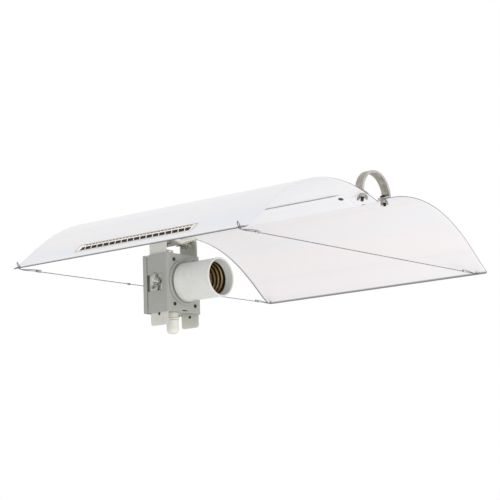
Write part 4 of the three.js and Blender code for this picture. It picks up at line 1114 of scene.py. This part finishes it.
def fasteners():
    """The loops' and the saddle's screws with their wing nuts. Heads and nuts sit at distances
    above and below the sheet."""
    loop_head, loop_nut, loop_length = 3.1, 0.8, 14
    saddle_head, saddle_nut, saddle_length = 0.8, 11.7, 22
    for hand, side in SIDES:
        for i, x in enumerate(LOOP_X, 1):
            p, n = wing_frame(x, side * LOOP_SCREW_Y)
            screw(f"loop_bolt_{i}_{hand}", f"loop_screw_{i}_{hand}", "reflector",
                  "blackened_steel", p + n * loop_head, n, (*M5_SCREW, loop_length))
            wing_nut(M5_NUT, f"loop_nut_{i}_{hand}", f"loop_wing_nut_{i}_{hand}",
                     f"loop_nut_{i}_{hand}", "galvanised_steel", p - n * loop_nut, -n,
                     (1, LOOP_NUT_TURN[hand], 0))
        p, n = wing_frame(SADDLE_BOLT[0], side * SADDLE_BOLT[1])
        screw(f"saddle_screw_{hand}", f"saddle_bolt_{hand}", "reflector", "zinc_plated_steel",
              p + n * saddle_head, n, (*M5_SCREW, saddle_length))
        wing_nut(M5_NUT, f"saddle_nut_{hand}", f"saddle_wing_nut_{hand}", f"saddle_nut_{hand}",
                 "galvanised_steel", p - n * saddle_nut, -n, (1, 0.5, 0))


# ------------------------------------------------------------------ loops and bracket

def layer_points(y0, y1, offset, count=10):
    """Points (y, z) of a layer that follows the wing."""
    y = np.linspace(y0, y1, count)
    return wing(np.zeros(count), y, np.full(count, offset))[:, 1:]


def hanger_loops():
    """Straps bent into an arch over the ridge, with a tab on each wing."""
    centre_z, mean, tab_offset = 84.0, 34.05, 1.8
    half_width, thickness, tab_share, fade = 7, 3.85, 0.49, 6.0
    tab = layer_points(20.0, 30.0, tab_offset)
    corner = wing([0], [35.2], [tab_offset])[0][1:]
    start = math.asin((corner[1] + 3.2 - centre_z) / mean)
    bend = Fold([tab[-1], corner, (mean * math.cos(start), centre_z + mean * math.sin(start))],
                [2.2]).points
    angles = np.linspace(start, math.pi / 2, 40)[1:]
    crown = np.stack([mean * np.cos(angles), centre_z + mean * np.sin(angles)], 1)
    line = mirrored_strip(np.vstack([tab, bend[1:], crown]))
    tab_length = line.where(tab[-1])

    def across_strap(u, w):
        """The tabs are pressed to half the thickness of the arch."""
        from_end = np.minimum(u, line.length - u)
        share = np.clip((from_end - tab_length) / fade, 0, 1)
        return line.at(u, w * (tab_share + (1 - tab_share) * share * share * (3 - 2 * share)))

    screws = [wing([0], [side * LOOP_SCREW_Y], [tab_offset])[0][1:] for _, side in SIDES]
    holes = [circle(line.where(p), 0.0, M5_HOLE) for p in screws]
    for i, x in enumerate(LOOP_X, 1):
        plate_piece(f"hanger_strap_{i}", "galvanised_steel", "reflector", [f"hanger_loop_{i}"],
                    rounded_rectangle(0, line.length, -half_width, half_width, 3, 5), holes,
                    line.lines(3.0), np.linspace(-half_width, half_width, 9),
                    lambda u, v, w, x=x: np.stack([x + v, *across_strap(u, w)], 1), thickness,
                    0.8, MATERIALS["worn_zinc"])


BRACKET_X = (29.5, 65.5)
LEG_Y = 36.15
LEG_BOTTOM = -67.0
SADDLE_OFFSET = -10.65
PAD_OFFSET = -6.1


def lamp_bracket():
    """A strap bent into a saddle and two slotted legs, with a stud through each leg's end."""
    slot_z = (-22.0, 9.0)
    stud_z, inner, outer = -49.0, 34.8, 37.25
    saddle = layer_points(32.5, 0.0, SADDLE_OFFSET, 14)
    corner = (LEG_Y, wing([0], [LEG_Y], [SADDLE_OFFSET])[0][2])
    bend = Fold([(LEG_Y, LEG_BOTTOM), corner, tuple(saddle[0])], [2.0]).points
    line = mirrored_strip(np.vstack([bend, saddle[1:]]))
    x0, x1 = BRACKET_X
    leg_x = (x0 + x1) / 2
    stud = rounded([(0, inner), (1.6, inner), (2.5, inner + 0.4), (2.5, outer - 0.35),
                    (1.9, outer), (0, outer)], 0.3)
    for hand, side in SIDES:
        turned(f"leg_stud_{hand}", stud, (leg_x, 0, stud_z), (0, side, 0), "blackened_steel",
               "reflector", "lamp_bracket", 36)
    holes = []
    for _, side in SIDES:
        low, high = sorted(line.where((side * LEG_Y, z)) for z in slot_z)
        holes.append(slot_outline(low, high, CLAMP_X, 3.4))
        p = wing([0], [side * SADDLE_BOLT[1]], [SADDLE_OFFSET])[0][1:]
        holes.append(circle(line.where(p), SADDLE_BOLT[0], M5_HOLE))
    plate_piece("lamp_bracket_strap", "cream_powder_coat", "reflector", ["lamp_bracket"],
                rounded_rectangle(0, line.length, x0, x1, 5, 8), holes, line.lines(6.0),
                np.linspace(x0, x1, 9), lambda u, v, w: np.stack([v, *line.at(u, w)], 1), 1.5, 0.4)


def saddle_pad():
    """The moulded pad between the bracket's saddle and the ridge."""
    half_width, thickness = 34, 7.0
    half = np.concatenate([[0, 0.6, 1.2, 2.2, 4], np.linspace(7, half_width, 8)])
    plate_piece("ridge_pad", "cream_nylon", "reflector", ["saddle_pad"],
                rounded_rectangle(*BRACKET_X, -half_width, half_width, 2.5, 5), saddle_holes(),
                np.linspace(*BRACKET_X, 9), np.concatenate([-half[::-1], half]),
                on_wing(PAD_OFFSET), thickness, 0.9)


# ------------------------------------------------------------------ the lampholder's box

FACE_X = 69.0
BACK_X = 15.5
BOX_HALF_WIDTH = 39.0
COVER_Z = (-46.5, 46.0)
SHELL = 1.2
FACE_SCREW_Y = 24
FACE_SCREW_Z = (("top", 36.0), ("bottom", -34.5))
REAR_SCREW_Z = (("top", 38.5), ("bottom", -38.5))
M3_HOLE = 1.9


def cover_fold(face_x, flange_x, bend):
    """A face across the box, with a flange back along each of its sides."""
    y = BOX_HALF_WIDTH - SHELL / 2
    return Fold([(flange_x, -y), (face_x, -y), (face_x, y), (flange_x, y)], [bend, bend])


def front_cover():
    """One folded sheet: the face that carries the socket, and a notched flange along each side."""
    line = cover_fold(FACE_X - SHELL / 2, 26, 4.2)
    lower, upper = COVER_Z
    total = line.length
    middle = total / 2
    notch = line.where((57, SHELL / 2 - BOX_HALF_WIDTH))
    z0, z1 = -12.0, 13.5
    r = 1.5
    q = math.pi / 2
    ear = [middle - 38, middle - 25]
    left = [(0, lower), *arc(total - 2, lower + 2, 2, -q, 0, 4)]
    right_notch = [(total, z0), *arc(total - notch + r, z0 + r, r, 3 * q, 2 * q, 4),
                   *arc(total - notch + r, z1 - r, r, 2 * q, q, 4), (total, z1)]
    top = [*arc(total - 2, upper - 2, 2, 0, q, 4), (ear[1], upper),
           *arc(ear[1] - 1, upper + 3, 1, 0, q, 3), *arc(ear[0] + 1, upper + 3, 1, q, 2 * q, 3),
           (ear[0], upper), *arc(2, upper - 2, 2, q, 2 * q, 4)]
    left_notch = [(0, z1), *arc(notch - r, z1 - r, r, q, 0, 4),
                  *arc(notch - r, z0 + r, r, 0, -q, 4), (0, z0)]
    foot = arc(2, lower + 2, 2, 2 * q, 3 * q, 4)
    outline = left[1:] + right_notch + top + left_notch + foot
    wire_hole, socket_screw_y, socket_screw_hole = 9, 14, 2.3
    holes = [circle(middle, LAMP_Z, wire_hole)]
    for s in (-1, 1):
        holes += [circle(middle + s * FACE_SCREW_Y, z, M3_HOLE) for _, z in FACE_SCREW_Z]
        holes.append(circle(middle + s * socket_screw_y, LAMP_Z, socket_screw_hole, 12))
    holes.append(slot_outline(middle - 6, middle + 6, lower + 3.1, 1.0, 6))
    ear_middle = sum(ear) / 2
    holes.append(slot_outline(ear_middle - 3, ear_middle + 3, upper + 1.9, 0.7, 6))
    plate_piece("front_cover_pressing", "grey_powder_coat", "carriage", ["front_cover"],
                outline, holes, line.lines(7.0), np.linspace(lower, upper + 4, 15),
                folded_round(line), SHELL, 0.35)


def rear_cover():
    """A shallow folded sheet behind the box."""
    half_height = 46
    line = cover_fold(BACK_X + SHELL / 2, 24.7, 1.6)
    holes = [circle(line.length / 2, z, M3_HOLE) for _, z in reversed(REAR_SCREW_Z)]
    plate_piece("rear_cover_pressing", "grey_powder_coat", "carriage", ["rear_cover"],
                rounded_rectangle(0, line.length, -half_height, half_height, 2, 4), holes,
                line.lines(7.0), np.linspace(-half_height, half_height, 13),
                folded_round(line), SHELL, 0.35)


LAMP_AXIS = (0.0, 0.0, LAMP_Z)
FORWARD = (1, 0, 0)


def socket_flange():
    """The raised steel ring round the porcelain."""
    profile = [(9, 69.35), (36, 69.35), (36, 70.9), (35.2, 71.6), (33.2, 71.6), (32.2, 70.9),
               (31.6, 70.7), (9, 70.7)]
    turned("socket_ring", rounded(profile, 0.4), LAMP_AXIS, FORWARD, "grey_powder_coat",
           "carriage", "socket_flange", 96)


def porcelain_socket():
    """A deep cup with a base collar, a beaded rim and a conical mouth."""
    mouth = 145.5
    profile = [(0, 71.7), (29.4, 71.7), (31, 73.6), (31, 84), (30.6, 86), (30.6, 140), (31, 142),
               (31, mouth - 1.6), (30.2, mouth), (28.7, mouth), (27.9, mouth - 1.0),
               (26.6, 133.6), (26.1, 132.0), (26.1, 85.6), (25.5, 85), (0, 85)]
    turned("porcelain_cup", rounded(profile, 1.1, 5), LAMP_AXIS, FORWARD, "porcelain",
           "carriage", "porcelain_socket", 128)


def screw_shell():
    """The rolled brass sleeve, with a real helical knuckle thread."""
    x0, x1, pitch, wall, run_out = 88.0, 132.4, 7.4, 0.5, 3.0
    low, high = THREAD_RADII
    sides, rows = 96, 111
    inner = [(x, 0.0) for x in np.linspace(x0, x1, rows)]
    outer = [(x, wall) for x in np.linspace(x1, x0, rows)]
    verts = []
    for x, skin in inner + outer:
        fade = min(1.0, (x1 - x) / run_out, (x - x0) / run_out)
        for i in range(sides):
            t = 2 * math.pi * i / sides
            wave = (0.5 - 0.5 * math.cos(2 * math.pi * (x / pitch - i / sides))) ** 0.8
            r = low + (high - low) * (wave * fade + (1 - fade) * 0.9) + skin
            verts.append((x, r * math.cos(t), LAMP_Z + r * math.sin(t)))
    faces = outward(verts, tube(2 * rows, sides, closed=True))
    piece("thread_shell", verts, faces, "brass_shell", "carriage", "screw_shell")


def centre_contact():
    """The sprung plunger at the bottom of the shell."""
    rear = 87.6
    profile = [(0, rear - 7), (2.2, rear - 7), (2.2, rear), (7, rear), (7, rear + 1.0),
               (6.2, rear + 1.8), (4.6, rear + 3.2), (2.6, rear + 4.5), (0, rear + 5)]
    turned("contact_plunger", rounded(profile, 0.5), LAMP_AXIS, FORWARD, "brass_shell",
           "contact", "centre_contact", 48)


CLAMP_X = 48.0
CLAMP_Z = 2.0
CLAMP_WINGS = (0.25, 0.0, 1.0)


def cover_screws():
    """The small screws that hold the two covers."""
    pitch = 0.6
    for hand, side in SIDES:
        for level, z in FACE_SCREW_Z:
            screw(f"cover_screw_{level}_{hand}", f"face_screw_{level}_{hand}", "carriage",
                  "blackened_steel", (FACE_X + 0.2, side * FACE_SCREW_Y, z), FORWARD,
                  (1.5, 2.9, 1.9, 8), pitch)
    for level, z in REAR_SCREW_Z:
        screw(f"back_screw_{level}", f"rear_screw_{level}", "carriage", "zinc_plated_steel",
              (BACK_X - 0.3, 0, z), (-1, 0, 0), (1.5, 2.8, 1.8, 7), pitch)


def clamp_hardware():
    """The bolt, washer and wing nut that clamp the box in each leg's slot."""
    slot, centre = "zinc_plated_steel", (CLAMP_X, 0.0, CLAMP_Z)
    washer_inner, washer_outer = 37.25, 38.4
    for hand, side in SIDES:
        along = (0, side, 0)
        wing_nut(M6_NUT, f"clamp_nut_{hand}", f"clamp_wing_nut_{hand}", f"clamp_nut_{hand}", slot,
                 (CLAMP_X, side * (washer_outer + 0.3), CLAMP_Z), along, CLAMP_WINGS)
        washer = [(3.3, washer_inner), (6.5, washer_inner), (6.5, washer_outer), (3.3, washer_outer)]
        turned(f"plain_washer_{hand}", rounded(washer, 0.35), centre, along, slot, "carriage",
               f"clamp_washer_{hand}", 48)
        y0, y1 = sorted(abs(corner.y) * 1000 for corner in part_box(f"clamp_bolt_{hand}"))
        shank = threaded_shank(3.0, 1.0, y0 + 3.0, y1, centre, along)
        head = lathe(rounded([(0, y0), (5.6, y0), (5.6, y0 + 4), (0, y0 + 4)], 0.5), centre, along, 6)
        o = mesh_object(f"clamp_screw_{hand}", *shank, [MATERIALS[slot]])
        combined(o, "UNION", mesh_object("hex", *head, [MATERIALS[slot]]))
        place(o, "carriage", slot, f"clamp_bolt_{hand}")


def gland():
    """The cable gland: a body with a hexagonal collar, and a fluted dome nut."""
    centre, up = (42.0, 0.0, 0.0), (0, 0, 1)
    flutes, flute_depth = 18, 0.5

    def hexagon(r, z, angle):
        flat = math.cos(math.pi / 6) / math.cos(angle % (math.pi / 3) - math.pi / 6)
        return r * flat if r > 10.0 else r

    def fluted(r, z, angle):
        share = min(1.0, max(0.0, (z + 72.5) / 6.0)) if r > 8.8 and z < -57.2 else 0.0
        return r - flute_depth * share * (0.5 - 0.5 * math.cos(flutes * angle)) ** 2

    body = [(5.0, -36.5), (7.7, -36.5), (7.7, -44.4), (9.4, -44.4), (9.4, -52.6), (10.2, -52.6),
            (11.2, -53.2), (11.2, -55.5), (10.2, -56.0), (6.8, -56.0), (6.8, -65.0), (5.0, -65.0)]
    turned("gland_body_moulding", rounded(body, 0.25, 2), centre, up, "cream_nylon", "carriage",
           "gland_body", 72, hexagon)
    top, shoulder, bottom = -56.5, -69.0, -77.5
    inside, outside, mouth = 7.1, 9.8, 5.4
    dome = [(inside, top), (outside, top), (outside, top - 1)]
    dome += [(outside, z) for z in np.linspace(top - 1.5, shoulder, 12)]
    dome += [(mouth + (outside - mouth) * math.cos(a), shoulder + (bottom - shoulder) * math.sin(a))
             for a in np.linspace(0, math.pi / 2, 8)[1:]]
    dome += [(4.3, bottom), (4.2, bottom + 1.6), (inside, bottom + 3.6)]
    turned("gland_nut", dome, centre, up, "cream_nylon", "dome_nut", "gland_dome_nut", 108, fluted)


# ------------------------------------------------------------------ carried-over nodes

def finish_frame_nodes():
    """The inner pieces keep their CAD shape, with softened edges and their finish."""
    slots = {s["node"]: s["material_slot"] for s in frame["record"]["subparts"]}
    softened, softened_over = 0.0003, math.radians(40)
    for name, o in frame["nodes"].items():
        if o.hide_render:
            continue
        o.data.materials.clear()
        o.data.materials.append(MATERIALS[slots[name]])
        planar = o.modifiers.new("planar", "DECIMATE")
        planar.decimate_type = "DISSOLVE"
        planar.angle_limit = math.radians(1)
        m = o.modifiers.new("bevel", "BEVEL")
        m.width, m.segments = softened, 2
        m.limit_method, m.angle_limit = "ANGLE", softened_over
        for p in o.data.polygons:
            p.use_smooth = False


# ------------------------------------------------------------------ stage, lights, camera

def area_light(name, at, towards, size, power):
    """A rectangular light that faces a place."""
    light = bpy.data.lights.new(name, "AREA")
    light.shape, light.size, light.size_y = "RECTANGLE", size[0], size[1]
    light.energy = power
    o = linked(name, light)
    o.location = at
    o.rotation_euler = (Vector(towards) - Vector(at)).to_track_quat("-Z", "Y").to_euler()


def studio():
    """White light from all round, a pale floor far below and one soft light from below."""
    world = bpy.data.worlds.new("studio")
    world.use_nodes = True
    background = world.node_tree.nodes["Background"]
    background.inputs["Color"].default_value = (1, 1, 1, 1)
    background.inputs["Strength"].default_value = 1.0
    bpy.context.scene.world = world
    settings = bpy.context.scene.view_settings
    settings.view_transform = "Standard"

    floor_z = -3.0
    half = 40.0
    mesh = bpy.data.meshes.new("floor")
    mesh.from_pydata([(-half, -half, floor_z), (half, -half, floor_z), (half, half, floor_z),
                      (-half, half, floor_z)], [], [[0, 1, 2, 3]])
    g = Graph("pale_floor", 0.6)
    g.set("Base Color", g.mottle(3, 3, srgb(239, 239, 239), srgb(241, 241, 241)))
    mesh.materials.append(g.material)
    floor = linked("floor", mesh)

    area_light("key", at=(2.1, -0.8, -1.1), towards=(0, 0, -0.08), size=(1.6, 0.8), power=24)


def photo_camera():
    """The photograph's viewpoint: from below and beyond the lamp's end of the reflector."""
    azimuth, elevation, roll = (math.radians(a) for a in (38.93, -9.767, -1.912))
    lens, sensor = 112.635, 36.0
    aim = np.array([220.0, 0.0, 0.0])
    distance, sideways, upwards = 2374.889, -13.447, 32.508
    back = np.array([math.sin(azimuth) * math.cos(elevation),
                     -math.cos(azimuth) * math.cos(elevation), math.sin(elevation)])
    right = unit(np.cross(-back, (0, 0, 1)))
    up = np.cross(right, -back)
    c, s = math.cos(roll), math.sin(roll)
    right, up = c * right + s * up, -s * right + c * up
    at = aim + back * distance + right * sideways + up * upwards
    camera = bpy.data.cameras.new("camera")
    camera.sensor_width = sensor
    camera.lens = lens
    camera.clip_end = 100
    o = linked("camera", camera)
    turn = Matrix((right, up, back)).transposed().to_4x4()
    o.matrix_world = Matrix.Translation(Vector(metres([at])[0])) @ turn
    bpy.context.scene.camera = o


photo_camera()
reflector_sheet()
ridge_spine()
rating_label()
bow_wires()
wire_ferrules()
wire_stop()
spine_rivets()
fasteners()
hanger_loops()
lamp_bracket()
saddle_pad()
front_cover()
rear_cover()
socket_flange()
porcelain_socket()
screw_shell()
centre_contact()
cover_screws()
clamp_hardware()
gland()
finish_frame_nodes()
studio()
